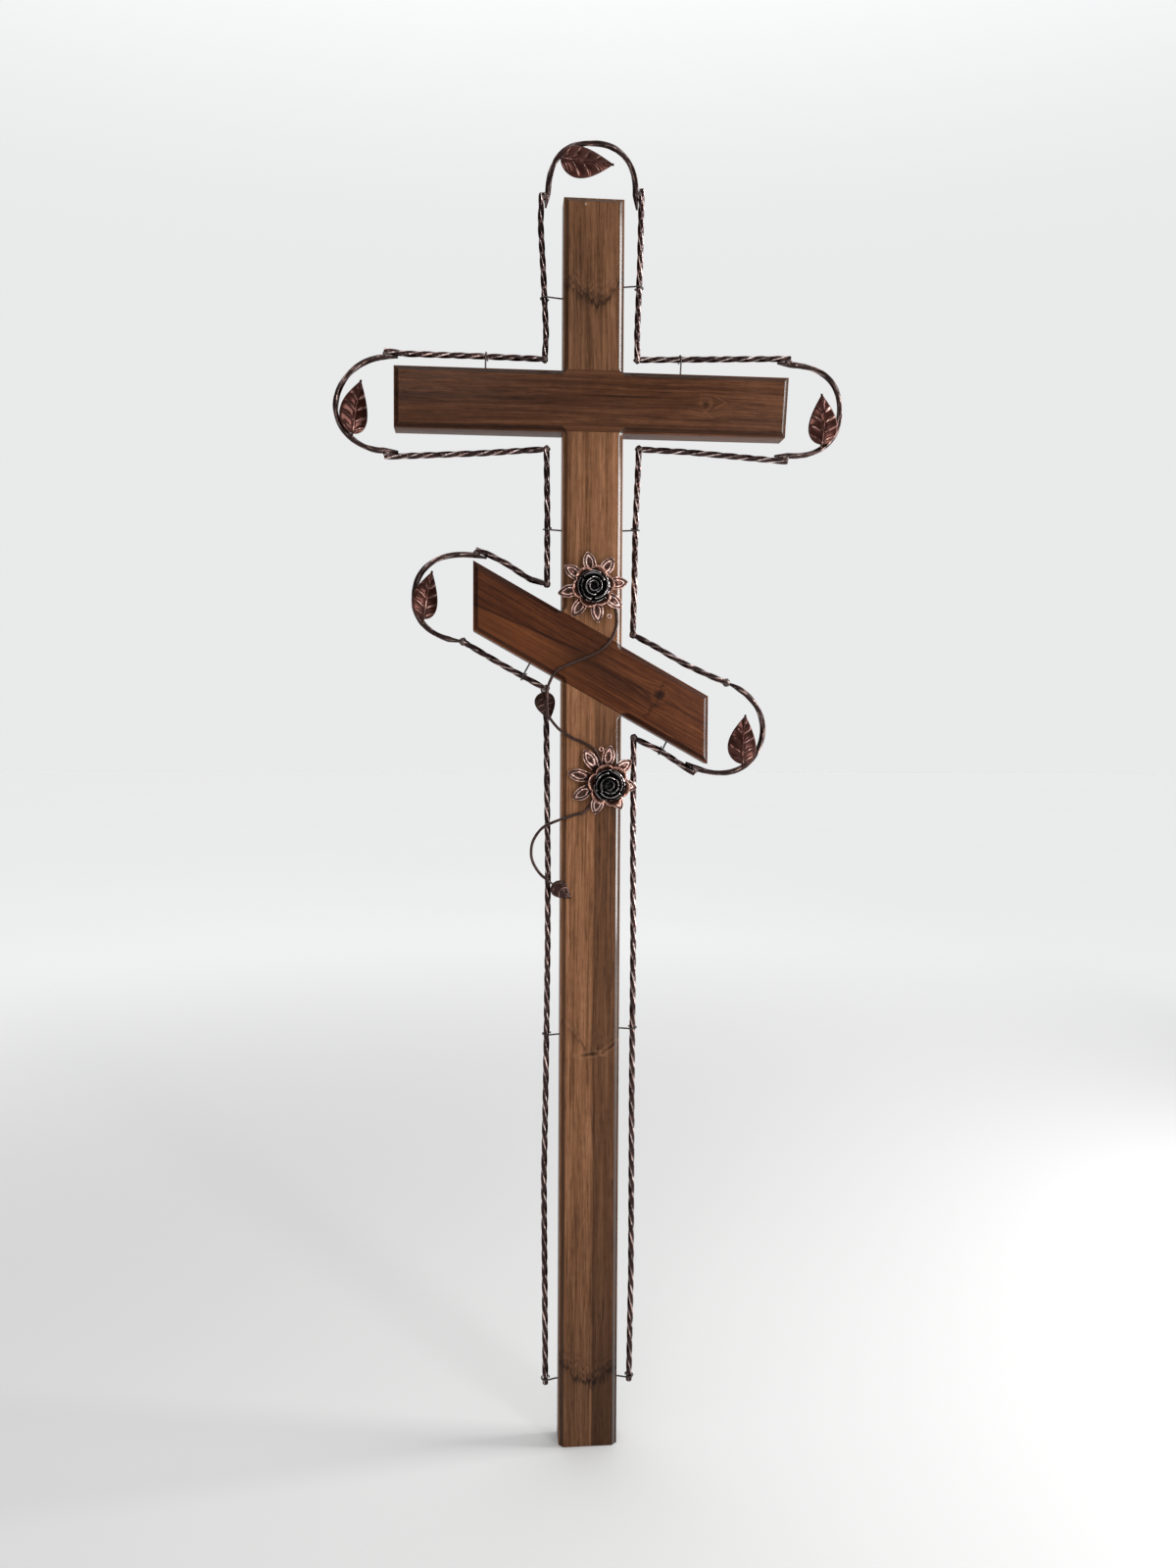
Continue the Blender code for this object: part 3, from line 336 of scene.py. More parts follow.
class Board:
    """A board's own coordinates from a reference line: u across its width, v through it and w along it."""

    def __init__(self, n, across, along, shift, seed):
        self.n = n
        place = n.coordinates()
        self.v = n.dot(place, (0, 1, 0))
        self.u = n.dot(place, across) - shift[0]
        self.w = n.dot(place, along) - shift[1]
        self.grain = self.u + seed
        self.front = n.smooth(self.v, 0.012, -0.016)

    def noise(self, across, along, detail=3.0, roughness=0.55, distortion=0.0):
        vector = self.n.node("CombineXYZ", {0: self.grain * across, 1: self.v * across, 2: self.w * along})
        return self.n.noise(vector, 1.0, detail, roughness, distortion)

    def waver(self, size, across, along, detail=3.0):
        return (self.noise(across, along, detail) - 0.5) * size

    def off(self, value, place, wobble, across, along):
        """How far a coordinate is past a place, with a wavering edge."""
        return value - place + self.waver(wobble, across, along)

    def spot(self, u, w, wide, tall):
        return self.n.bell(self.u - u, wide) * self.n.bell(self.w - w, tall)

    def bend_round(self, knot):
        """Grain lines flow round a knot."""
        ku, kw, wide = knot[:3]
        self.grain = self.grain - (self.u - ku) * self.spot(ku, kw, wide * 3.0, wide * 4.5) * 0.9

    def tint(self, colour, amount, level):
        """Multiplies a colour by a warm grey level where amount is 1, so its grain stays."""
        return self.n.mix(amount, colour, (level, level * 0.96, level * 0.93), "MULTIPLY")

    def knot(self, colour, knot, light):
        """A dark, ragged knot with a paler halo, tilted from the board's width towards its length."""
        n = self.n
        ku, kw, wide, tall, tilt = knot
        c, s = math.cos(math.radians(tilt)), math.sin(math.radians(tilt))
        du, dw = self.u - ku, self.w - kw
        a = (du * c + dw * s) / wide
        b = (dw * c - du * s) / tall
        ragged = self.waver(3.0, 75.0, 70.0, 2.0) + self.waver(1.6, 260.0, 220.0, 2.0)
        distance = n.math("SQRT", a * a + b * b) + ragged
        colour = n.mix(n.bell(distance - 2.2, 0.6) * 0.30, colour, light)
        return self.tint(colour, n.smooth(distance, 1.60, 0.30) * self.front, 0.36)

    def vee(self, colour, figure, light):
        """Nested curly lines that dip to a low point, steep on either side, fading upwards."""
        n = self.n
        cu, cw, left, right, height, pitch, amount = figure
        du = self.u - cu
        sides = n.math("MAXIMUM", du * -left, du * right)
        blunt = n.math("SQRT", sides * sides + 0.00003) - 0.0055
        rise = self.w - cw - blunt + (self.waver(0.026, 70.0, 32.0) + self.waver(0.030, 330.0, 16.0, 2.0))
        amount = self.front * amount
        inside = n.smooth(rise, -0.0040, 0.0040) * n.smooth(rise, height, 0.0)
        waves = (n.math("SINE", rise * (2 * math.pi / pitch)) + 1.0) * 0.5
        torn = n.smooth(self.noise(300.0, 50.0), 0.36, 0.60)
        colour = n.mix(inside * (1.0 - waves) * torn * amount * 0.45, colour, light)
        band = n.bell(rise - 0.004, 0.0095) * n.smooth(self.noise(150.0, 45.0), 0.28, 0.60)
        colour = self.tint(colour, band * amount, 0.50)
        colour = self.tint(colour, inside * waves * torn * amount, 0.60)
        low = n.bell(rise - 0.002, 0.0030) * n.bell(du, 0.016) * torn
        return self.tint(colour, low * amount * 1.2, 0.42)


def scaled(colour, factor):
    return tuple(c * factor for c in colour)


def wood(name, across, along, shift, tones, shade, knots, vees, marks, seed, shine):
    """Stained pine: grain along the board, shaded along its length, with its own knots, figures and marks,
    and painted shade darkening its chamfers.
    """
    dark, middle, light = tones
    n = Nodes(bpy.data.materials.new(name))
    board = Board(n, across, along, shift, seed)
    board.grain = board.grain + board.waver(0.016, 6.0, 1.6, 2.0)
    for knot in knots:
        if knot[2] < SMALL_KNOT:
            board.bend_round(knot)
    hair = board.noise(900.0, 22.0, 3.0, 0.6)
    fibre = board.noise(290.0, 7.0, 4.0, 0.70)
    streak = board.noise(110.0, 2.6, 3.0, 0.60)
    broad = board.noise(26.0, 1.2, 3.0, 0.55, 0.3)
    mottle = board.noise(90.0, 60.0, 3.0, 0.65)
    pores = n.smooth(board.noise(420.0, 26.0, 2.0, 0.5), 0.57, 0.66)

    tone = n.smooth(broad, 0.34, 0.66) * 0.16
    for layer, low, high, weight in ((streak, 0.36, 0.64, 0.24), (fibre, 0.39, 0.61, 0.34),
                                     (hair, 0.36, 0.64, 0.16), (mottle, 0.36, 0.64, 0.10)):
        tone = tone + n.smooth(layer, low, high) * weight
    colour = n.mix(n.smooth(tone, 0.08, 0.55), dark, middle)
    colour = n.mix(n.smooth(tone, 0.48, 0.92), colour, light)
    colour = board.tint(colour, pores * 0.75, 0.60)
    for vee in vees:
        colour = board.vee(colour, vee, scaled(light, 1.1))
    colour = marks(board, colour, light)
    for knot in knots:
        colour = board.knot(colour, knot, light)
    colour = n.mix(1.0, colour, n.ramp(board.w, shade), "MULTIPLY")

    normal = n.coordinates("Normal")
    facing = n.dot(normal, (0, -1, 0))
    moulding = n.smooth(facing, 0.97, 0.85) * n.smooth(facing, 0.15, 0.40)
    right = moulding * n.smooth(n.dot(normal, (1, 0, 0)), 0.35, 0.60)
    # Painted shade: chamfers and other faces turned sideways are darkened; those facing right also get a
    # coat.
    colour = board.tint(colour, moulding, 0.41)
    height = fibre * 0.8 + hair * 0.4 - pores * 0.6
    rough = n.smooth(fibre * 0.5 + broad * 0.5, 0.3, 0.7, 0.32, 0.50)
    return n.finish(Base_Color=colour, Roughness=rough, Normal=n.bump(height, 0.0003, 0.7),
                    Specular_IOR_Level=0.12, Coat_Weight=right * shine, Coat_Roughness=0.13)


def post_marks(board, colour, light):
    """Darker wood right of a sharp line, a pale line and a peak low down, a nail hole and a split."""
    n, u, w = board.n, board.u, board.w
    edge = board.off(u, 0.006, 0.012, 9.0, 2.2)
    low = n.smooth(w, 1.30, 1.10)
    colour = board.tint(colour, n.smooth(edge, -0.0006, 0.0010) * low, 0.52)
    colour = board.tint(colour, n.bell(edge, 0.0018) * low, 0.62)
    foot_line = n.bell(board.off(u, 0.003, 0.010, 9.0, 2.2), 0.0014) * n.smooth(w, 0.10, 0.09)
    colour = n.mix(foot_line * 0.60, colour, scaled(light, 1.6))
    peak = 0.560 - abs(u - 0.001) * 14.0 - board.off(w, 0.0, 0.030, 60.0, 14.0)
    inside = n.smooth(peak, -0.006, 0.006) * n.smooth(w, 0.44, 0.53)
    colour = n.mix(inside * 0.35, colour, scaled(light, 1.15))
    colour = board.tint(colour, n.bell(peak, 0.008) * n.smooth(w, 0.42, 0.52), 0.72)
    colour = n.mix(board.spot(-0.0136, POST_HEIGHT - 0.0120, 0.0014, 0.0014), colour, NAIL_HOLE)
    return board.tint(colour, board.spot(0.0130, 1.012, 0.0016, 0.0075) * 0.9, 0.25)


def crossbar_marks(board, colour, light):
    """A darker streak along the middle, paler rims over the post, and pale lines of resin by the knot."""
    n, u, w = board.n, board.u, board.w
    streak = n.bell(board.off(u, 0.000, 0.020, 9.0, 2.0), 0.012)
    colour = board.tint(colour, streak * n.smooth(w, 0.24, 0.10), 0.80)
    rim = n.smooth(abs(w), HALF + 0.004, HALF - 0.002) * n.smooth(abs(u), 0.0382, 0.0400)
    colour = n.mix(rim * 0.35, colour, scaled(light, 1.1))
    inside = n.smooth(w, 0.189, 0.195) * n.smooth(w, 0.214, 0.209)
    spread = (0.211 - w) * 0.50
    for side in (-1, 1):
        arm = board.off(u, 0.003, 0.004, 120.0, 60.0) - spread * side
        colour = n.mix(n.bell(arm, 0.0010) * inside * 0.34, colour, scaled(light, 1.8))
    past = w - 0.182
    near = n.smooth(abs(past), 0.010, 0.006)
    for start, tilt in ((-0.008, 0.9), (-0.016, -0.7)):
        arm = board.off(u, start, 0.004, 120.0, 60.0) - past * tilt
        colour = n.mix(n.bell(arm, 0.0012) * near * 0.28, colour, scaled(light, 1.8))
    return colour


def slant_marks(board, colour, light):
    """Dark heartwood from the upper left to the middle, paler wood under it, and cracks round the knot."""
    n, u, w = board.n, board.u, board.w
    border = board.off(u, 0.008, 0.014, 9.0, 3.0) - w * 0.10
    left = n.smooth(w, 0.05, -0.04)
    colour = board.tint(colour, n.smooth(border, -0.001, 0.001) * left, 0.72)
    colour = n.mix(n.smooth(border, 0.001, -0.004) * left * 0.35, colour, scaled(light, 1.1))
    colour = board.tint(colour, n.bell(border, 0.0020) * left, 0.45)
    heart = n.bell(board.off(u, -0.004, 0.022, 12.0, 3.0), 0.015)
    colour = board.tint(colour, heart * n.smooth(w, -0.12, 0.00) * n.smooth(w, 0.15, 0.06), 0.52)
    right = n.smooth(w, 0.04, 0.09)
    for place, level in ((0.005, 0.50), (-0.019, 0.65), (-0.033, 0.72)):
        line = n.bell(board.off(u, place, 0.014, 14.0, 4.0), 0.0015)
        colour = board.tint(colour, line * right, level)
    crack = board.off(w, 0.1185, 0.018, 60.0, 25.0) + u * u * 6.0
    near = n.smooth(abs(u), 0.040, 0.024)
    stained = n.smooth(crack, 0.0100, 0.0) * n.smooth(crack, -0.0005, 0.0005) * near
    colour = board.tint(colour, stained, 0.72)
    return board.tint(colour, n.bell(crack, 0.0013) * near, 0.50)


def patina(name, dark, rub_and_glint, low, high, roughness, body, gloss=0.35, pitting=0.00012):
    """Dark finish of some metallic body, with bright metal rubbed through where wear is high. On corners,
    veins, rims and lips that bright metal is partly painted highlight.
    """
    n = Nodes(bpy.data.materials.new(name))
    place = n.coordinates()
    cloud = n.noise(place, 70.0, 4.0, 0.6)
    grit = n.noise(place, 700.0, 3.0, 0.6)
    wear_and_glint = n.node("Attribute", {}, "Fac", attribute_name="wear_and_glint")
    amount = n.smooth(wear_and_glint + (cloud - 0.5) * 1.2 + (grit - 0.5) * 0.4, low, high)
    redder = tuple(c * f for c, f in zip(rub_and_glint, REDDER))
    rubbed_and_glint_colour = n.mix(n.smooth(n.noise(place, 31.0, 3.0, 0.5), 0.35, 0.65), rub_and_glint, redder)
    finish = n.mix(n.smooth(cloud, 0.35, 0.70), dark, scaled(dark, 1.7))
    return n.finish(Base_Color=n.mix(amount, finish, rubbed_and_glint_colour), Roughness=grit * 0.16 + (roughness - 0.08),
                    Metallic=amount * (0.95 - body) + body, Normal=n.bump(grit * 0.35 + cloud, pitting, 0.6),
                    Specular_IOR_Level=gloss)


# Knots: place across and along, width, height and tilt. Figures: place, steepness left and right, height,
# pitch, amount. Patinas: dark finish, rubbed metal (partly painted highlight), wear where rubbing starts
# and is full, roughness, body.
POST_TONES = ((0.129, 0.053, 0.022), (0.264, 0.115, 0.0525), (0.392, 0.186, 0.094))
CROSSBAR_TONES = ((0.037, 0.0130, 0.0048), (0.076, 0.0270, 0.0110), (0.134, 0.0530, 0.0240))
SLANT_TONES = ((0.044, 0.0115, 0.0036), (0.094, 0.0250, 0.0075), (0.165, 0.0520, 0.0170))
POST_SHADE = ((0.0, 0.48), (0.14, 0.50), (0.22, 0.62), (0.49, 0.79), (0.80, 0.84), (1.08, 0.93), (1.45, 0.84),
              (1.60, 0.84), (1.70, 0.58), (1.86, 0.55), (2.0, 0.60))
POST_WOOD = wood(
    "post_pine", (1, 0, 0), (0, 0, 1), (0, 0), POST_TONES, POST_SHADE,
    knots=((-0.001, 0.648, 0.0120, 0.0022, 4.0), (0.033, 0.660, 0.0090, 0.0020, 35.0)),
    vees=((0.010, 1.833, 0.62, 1.20, 0.052, 0.0120, 1.35), (-0.002, 0.649, 1.30, 0.60, 0.050, 0.0150, 0.60),
          (-0.001, 0.104, 0.85, 0.55, 0.062, 0.0135, 1.45)),
    marks=post_marks, seed=3.1, shine=0.85)
CROSSBAR_WOOD = wood(
    "crossbar_pine", (0, 0, 1), (1, 0, 0), (CROSSBAR_HEIGHT, 0), CROSSBAR_TONES,
    ((-0.32, 1.12), (0.0, 0.97), (0.16, 1.15), (0.32, 1.22)),
    knots=((0.001, 0.179, 0.0044, 0.0036, 0.0),), vees=(), marks=crossbar_marks, seed=7.7, shine=0.30)
SLANT_WOOD = wood(
    "slanted_bar_pine", (SLANT_OUT.x, 0, SLANT_OUT.y), (SLANT_ALONG.x, 0, SLANT_ALONG.y),
    (SLANT_MIDDLE.dot(SLANT_OUT), SLANT_MIDDLE.dot(SLANT_ALONG)), SLANT_TONES,
    ((-0.23, 0.90), (-0.12, 1.05), (0.0, 0.74), (0.10, 0.90), (0.23, 1.02)),
    knots=((0.010, 0.117, 0.0054, 0.0060, 0.0),), vees=(), marks=slant_marks, seed=11.3, shine=0.25)
# The rubbed metal on the bars' corners, the arcs, the leaves' veins, the petals' rims and the roses' lips is
# partly painted highlight.
TWISTED_IRON = patina("rubbed_iron_and_glint", (0.034, 0.020, 0.019), (0.960, 0.790, 0.740), 0.70, 1.10, 0.21, 0.95)
ARC_IRON = patina("rubbed_arc_iron_and_glint", (0.036, 0.022, 0.020), (0.800, 0.600, 0.540), 0.74, 1.20, 0.24, 0.92)
WELD_IRON = patina("weld_iron", (0.080, 0.058, 0.053), (0.500, 0.400, 0.370), 0.70, 1.20, 0.28, 0.90)
LEAF_COPPER = patina("leaf_patina", (0.046, 0.015, 0.011), (0.880, 0.560, 0.480), 0.72, 1.22, 0.19, 0.70)
VINE_LEAF_COPPER = patina("vine_leaf_patina", (0.030, 0.013, 0.010), (0.520, 0.310, 0.260), 0.72, 1.28,
                          0.24, 0.60)
PETAL_COPPER = patina("petal_patina", (0.055, 0.025, 0.019), (0.880, 0.620, 0.550), 0.45, 0.90, 0.20, 0.75)
CUP_COPPER = patina("cup_patina", (0.085, 0.034, 0.024), (0.780, 0.480, 0.390), 0.55, 1.10, 0.20, 0.75)
ROSE_BLACK = patina("rose_enamel", (0.0014, 0.0012, 0.0012), (0.900, 0.870, 0.860), 0.98, 1.26, 0.09, 0.0,
                    gloss=0.22, pitting=0.00003)
VINE_IRON = patina("vine_iron", (0.045, 0.026, 0.022), (0.260, 0.150, 0.118), 0.65, 1.30, 0.30, 0.80)
TIE_STEEL = patina("annealed_wire", (0.055, 0.046, 0.043), (0.420, 0.380, 0.360), 0.90, 1.50, 0.28, 0.85)


# Meshes
def mesh_piece(name, points, faces, wear_and_glint, material, node, slot, angle=40.0):
    """A piece from points and faces, with its wear and painted highlight at each point, on the root in place
    of a CAD node.
    """
    mesh = bpy.data.meshes.new(name)
    mesh.from_pydata([tuple(p) for p in points], [], faces)
    attribute = mesh.attributes.new("wear_and_glint", "FLOAT", "POINT")
    attribute.data.foreach_set("value", wear_and_glint)
    mesh.materials.append(material)
    mesh.shade_smooth()
    mesh.set_sharp_from_angle(angle=math.radians(angle))
    obj = bpy.data.objects.new(name, mesh)
    bpy.context.scene.collection.objects.link(obj)
    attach(obj, "root")
    if node:
        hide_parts(node)
    return obj


def thicken(obj, thickness):
    solid = obj.modifiers.new("sheet", "SOLIDIFY")
    solid.thickness = thickness
    solid.offset = -1.0
    solid.use_even_offset = False


def grid_faces(rows, columns, first=0, closed=False):
    """Faces of a grid of (rows + 1) x (columns + 1) points; closed joins the last column to the first."""
    wide = columns if closed else columns + 1
    faces = []
    for i in range(rows):
        for j in range(columns):
            a = first + i * wide + j
            b = first + i * wide + (j + 1) % wide
            faces.append((a, b, b + wide, a + wide))
    return faces


def turned_over(faces):
    return [tuple(reversed(face)) for face in faces]


def round_section(radius, sides, worn_and_glint):
    """Circle of a wire: (sideways, forward, wear)."""
    turns = [2 * math.pi * k / sides for k in range(sides)]
    return [(radius * math.cos(turn), radius * math.sin(turn), worn_and_glint) for turn in turns]


def sweep(path, ring):
    """Points, faces and wear (partly painted highlight) of a closed tube: ring(index, distance) gives the
    section at a path point.
    """
    points, wear_and_glint = [], []
    distance = 0.0
    tangent = (path[1] - path[0]).normalized()
    forward = Vector((0, -1, 0))
    forward = (forward - tangent * forward.dot(tangent)).normalized()
    for i, centre in enumerate(path):
        if i:
            distance += (centre - path[i - 1]).length
        new = (path[min(i + 1, len(path) - 1)] - path[max(i - 1, 0)]).normalized()
        forward = tangent.rotation_difference(new) @ forward
        forward = (forward - new * forward.dot(new)).normalized()
        tangent = new
        side = forward.cross(tangent)
        for a, b, worn_and_glint in ring(i, distance):
            points.append(centre + side * a + forward * b)
            wear_and_glint.append(worn_and_glint)
    wide = len(points) // len(path)
    faces = grid_faces(len(path) - 1, wide, closed=True)
    faces.append(tuple(reversed(range(wide))))
    faces.append(tuple(range(len(points) - wide, len(points))))
    return points, faces, wear_and_glint


def flat(point, depth=0.0):
    return Vector((point.x, depth, point.y))


def length_of(line):
    return sum((b - a).length for a, b in zip(line, line[1:]))


def point_along(line, distance):
    for a, b in zip(line, line[1:]):
        step = (b - a).length
        if distance <= step + 1e-9:
            return a.lerp(b, distance / step), (b - a).normalized()
        distance -= step
    return line[-1].copy(), (line[-1] - line[-2]).normalized()


def smooth_route(points, step):
    """Points about a step apart on a Catmull-Rom curve."""
    knots = [Vector(point) for point in points]
    knots = [2 * knots[0] - knots[1], *knots, 2 * knots[-1] - knots[-2]]
    route = []
    for before, a, b, after in zip(knots, knots[1:], knots[2:], knots[3:]):
        count = max(1, round((b - a).length / step))
        for i in range(count):
            t = i / count
            route.append(0.5 * ((2 * a) + (b - before) * t + (2 * before - 5 * a + 4 * b - after) * t**2
                                + (3 * a - before - 3 * b + after) * t**3))
    route.append(knots[-2])
    return route


# Boards
def dress_board(node, material):
    """A copy of the CAD board with its sharp edges eased."""
    obj = bpy.data.objects.new(node + "_board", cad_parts[node].data.copy())
    bpy.context.scene.collection.objects.link(obj)
    obj.data.materials.clear()
    obj.data.materials.append(material)
    weld = obj.modifiers.new("weld", "WELD")
    weld.merge_threshold = 0.00002
    flat_faces = obj.modifiers.new("flat faces", "DECIMATE")
    flat_faces.decimate_type = "DISSOLVE"
    flat_faces.angle_limit = math.radians(1.0)
    eased = obj.modifiers.new("eased edges", "BEVEL")
    eased.width = EASED_EDGE
    eased.segments = 3
    eased.limit_method = "ANGLE"
    eased.angle_limit = math.radians(25)
    obj.data.shade_smooth()
    bpy.context.view_layer.objects.active = obj
    for modifier in list(obj.modifiers):
        with bpy.context.temp_override(object=obj, active_object=obj, selected_objects=[obj]):
            bpy.ops.object.modifier_apply(modifier=modifier.name)
    obj.data.shade_smooth()
    obj.data.set_sharp_from_angle(angle=math.radians(24))
    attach(obj, "root")
    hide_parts(node)


# Iron
def beside(edge, place, gap):
    """A point off a board's edge, by its X, or by its Z where the edge is the post's."""
    origin, along, out = EDGES[edge]
    start = origin + out * gap
    axis = 1 if edge.startswith("post") else 0
    return start + along * (place - start[axis]) / along[axis]


def inner_corner(post_edge, bar_edge, gaps):
    return beside(bar_edge, beside(post_edge, 0.0, gaps[0]).x, gaps[1])


def iron_lines():
    """The middle line of each twisted bar, from its inner corner outwards, and the edge that it follows."""
    arm = CROSSBAR_LENGTH / 2
    slant = SLANT_SPAN / 2
    upper_left = inner_corner("post_left", "crossbar_top", GAP_UPPER_LEFT)
    upper_right = inner_corner("post_right", "crossbar_top", GAP_UPPER_RIGHT)
    under_left = inner_corner("post_left", "crossbar_under", GAP_UNDER_LEFT)
    under_right = inner_corner("post_right", "crossbar_under", GAP_UNDER_RIGHT)
    slant_upper_left = inner_corner("post_left", "slant_top", GAP_SLANT_UPPER_LEFT)
    slant_upper_right = inner_corner("post_right", "slant_top", GAP_SLANT_UPPER_RIGHT)
    slant_under_left = inner_corner("post_left", "slant_under", GAP_SLANT_UNDER_LEFT)
    slant_under_right = inner_corner("post_right", "slant_under", GAP_SLANT_UNDER_RIGHT)

    def past(edge, side, end, finish):
        return beside(edge, side * (end + finish[1]), finish[0])

    ends = {
        "iron_top_left": ("post_left", upper_left, past("post_left", 1, POST_HEIGHT, TOP_LEFT_END)),
        "iron_top_right": ("post_right", upper_right, past("post_right", 1, POST_HEIGHT, TOP_RIGHT_END)),
        "iron_left_arm_top": ("crossbar_top", upper_left, past("crossbar_top", -1, arm, LEFT_ARM_TOP_END)),
        "iron_left_arm_under": ("crossbar_under", under_left,
                                past("crossbar_under", -1, arm, LEFT_ARM_UNDER_END)),
        "iron_right_arm_top": ("crossbar_top", upper_right, past("crossbar_top", 1, arm, RIGHT_ARM_TOP_END)),
        "iron_right_arm_under": ("crossbar_under", under_right,
                                 past("crossbar_under", 1, arm, RIGHT_ARM_UNDER_END)),
        "iron_mid_left": ("post_left", under_left, slant_upper_left),
        "iron_mid_right": ("post_right", under_right, slant_upper_right),
        "iron_slant_left_top": ("slant_top", slant_upper_left,
                                past("slant_top", -1, slant, SLANT_LEFT_TOP_END)),
        "iron_slant_left_under": ("slant_under", slant_under_left,
                                  past("slant_under", -1, slant, SLANT_LEFT_UNDER_END)),
        "iron_slant_right_top": ("slant_top", slant_upper_right,
                                 past("slant_top", 1, slant, SLANT_RIGHT_TOP_END)),
        "iron_slant_right_under": ("slant_under", slant_under_right,
                                   past("slant_under", 1, slant, SLANT_RIGHT_UNDER_END)),
        "iron_low_left": ("post_left", slant_under_left, beside("post_left", FOOT_CLEAR, LOW_LEFT_GAP)),
        "iron_low_right": ("post_right", slant_under_right, beside("post_right", FOOT_CLEAR, LOW_RIGHT_GAP)),
    }
    lines = {}
    for name, (edge, start, finish) in ends.items():
        out = EDGES[edge][2]
        bends = [start.lerp(finish, share) + out * shift for share, shift in BOWS[name]]
        lines[name] = (edge, [start, *bends, finish])
    return lines


def trimmed_start(name, edge, line):
    """The line as the bar is cut: bars beside the post run through a corner, the others end in its weld."""
    along = (line[1] - line[0]).normalized()
    if edge.startswith("post"):
        start = line[0] - along * IRON_BAR / 2
        if name.startswith("iron_mid"):
            finish_along = (line[-1] - line[-2]).normalized()
            return [start, *line[1:-1], line[-1] + finish_along * IRON_BAR / 2]
        return [start, *line[1:]]
    return [line[0] + along * IRON_BAR / 2, *line[1:]]


def bulged(start, finish, bulge, squareness, steps=48):
    middle = (start + finish) / 2
    first, second = squareness
    points = []
    for i in range(steps + 1):
        angle = math.pi * i / steps
        power = 2 / (first if i * 2 < steps else second)
        sideways = math.copysign(abs(math.cos(angle)) ** power, math.cos(angle))
        outwards = max(math.sin(angle), 0.0) ** power
        points.append(middle + (start - middle) * sideways + Vector(bulge) * outwards)
    return points


def arc_line(lines, first, last, bulge, squareness, butted=(), spare=0.0):
    def end(name, back):
        edge, line = lines[name]
        along = (line[-1] - line[-2]).normalized()
        if name in butted:
            return [line[-1] + along * 3 * TOUCH]
        out = EDGES[edge][2]
        foot = line[-1] - along * back
        root = foot - out * (BAR_REACH + ARC_REACH + TOUCH) * ARC_SEAT
        tip = foot - out * (BAR_REACH + ARC_REACH * ARC_TIP_SCALE + TOUCH) * ARC_SEAT - along * ARC_TIP
        return [tip, root]

    start = end(first, 0.0)
    finish = end(last, spare)
    return [*start[:-1], *bulged(start[-1], finish[-1], bulge, squareness), *reversed(finish[:-1])]


def arc_lines(lines):
    return {
        "arc_top": arc_line(lines, "iron_top_left", "iron_top_right", ARC_TOP_BULGE, ARC_TOP_SQUARENESS,
                            spare=TOP_RIGHT_SPARE),
        "arc_left": arc_line(lines, "iron_left_arm_top", "iron_left_arm_under", ARC_LEFT_BULGE,
                             ARC_LEFT_SQUARENESS),
        "arc_right": arc_line(lines, "iron_right_arm_top", "iron_right_arm_under", ARC_RIGHT_BULGE,
                              ARC_RIGHT_SQUARENESS),
        "arc_slant_left": arc_line(lines, "iron_slant_left_top", "iron_slant_left_under",
                                   ARC_SLANT_LEFT_BULGE, ARC_SLANT_LEFT_SQUARENESS,
                                   butted=("iron_slant_left_under",)),
        "arc_slant_right": arc_line(lines, "iron_slant_right_top", "iron_slant_right_under",
                                    ARC_SLANT_RIGHT_BULGE, ARC_SLANT_RIGHT_SQUARENESS,
                                    butted=("iron_slant_right_top",)),
    }


def resampled(line, step):
    """The line in even steps of about this length, with its bends rounded, in the iron's plane."""
    length = length_of(line)
    count = max(4, round(length / step))
    route = []
    for i in range(count + 1):
        a, _ = point_along(line, max(0.0, length * i / count - 1.5 * step))
        b, _ = point_along(line, length * i / count)
        c, _ = point_along(line, min(length, length * i / count + 1.5 * step))
        route.append(flat(b if i in (0, count) else (a + b * 2 + c) / 4))
    return route


def square_section(side, angle, corners=20, power=7.0):
    """Rounded square of a given side, turned by angle: (sideways, forward, wear at the corners, which also
    paints the highlight slashes along the twist).
    """
    section = []
    for k in range(corners):
        turn = 2 * math.pi * k / corners
        c, s = math.cos(turn), math.sin(turn)
        reach = side / 2 / (abs(c) ** power + abs(s) ** power) ** (1 / power)
        # Corner wear: rubbed metal that also paints the twist's highlight slashes.
        corner = abs(math.sin(2 * turn)) ** 3
        a = turn + angle
        section.append((reach * math.cos(a), reach * math.sin(a), corner))
    return section


def make_iron(lines, arcs):
    rng = random.Random(4)
    for name, (edge, line) in lines.items():
        path = resampled(trimmed_start(name, edge, line), 0.0026)
        total = length_of(path)
        sway = [rng.uniform(-0.25, 0.25) for _ in range(8)]

        def ring(i, distance):
            share = distance / total * 7
            k = min(int(share), 6)
            drift = sway[k] + (sway[k + 1] - sway[k]) * (share - k)
            end = min(distance, total - distance)
            size = IRON_BAR * (0.90 + 0.10 * min(1.0, end / 0.004))
            return square_section(size * 1.02, -(math.pi / 2 * distance / QUARTER_TURN + drift))

        mesh_piece(name + "_bar", *sweep(path, ring), TWISTED_IRON, name, "twisted_iron", 50.0)
    for name, line in arcs.items():
        path = resampled(line, 0.0028)
        total = length_of(path)
        dents = [rng.uniform(-1, 1) for _ in range(200)]

        def ring(i, distance):
            tip = min(1.0, ARC_TIP_SCALE + (1 - ARC_TIP_SCALE) * min(distance, total - distance) / ARC_TIP)
            size = ARC_BAR * tip * (1 + 0.035 * dents[i // 3 % 200])
            section = square_section(size, -(math.pi / 2 * distance / ARC_QUARTER_TURN), power=5.0)
            # Corner wear along the arc: rubbed metal that also paints a highlight line.
            return [(a, b, 0.20 + 0.75 * worn_and_glint) for a, b, worn_and_glint in section]

        mesh_piece(name + "_bar", *sweep(path, ring), ARC_IRON, name, "twisted_iron", 60.0)


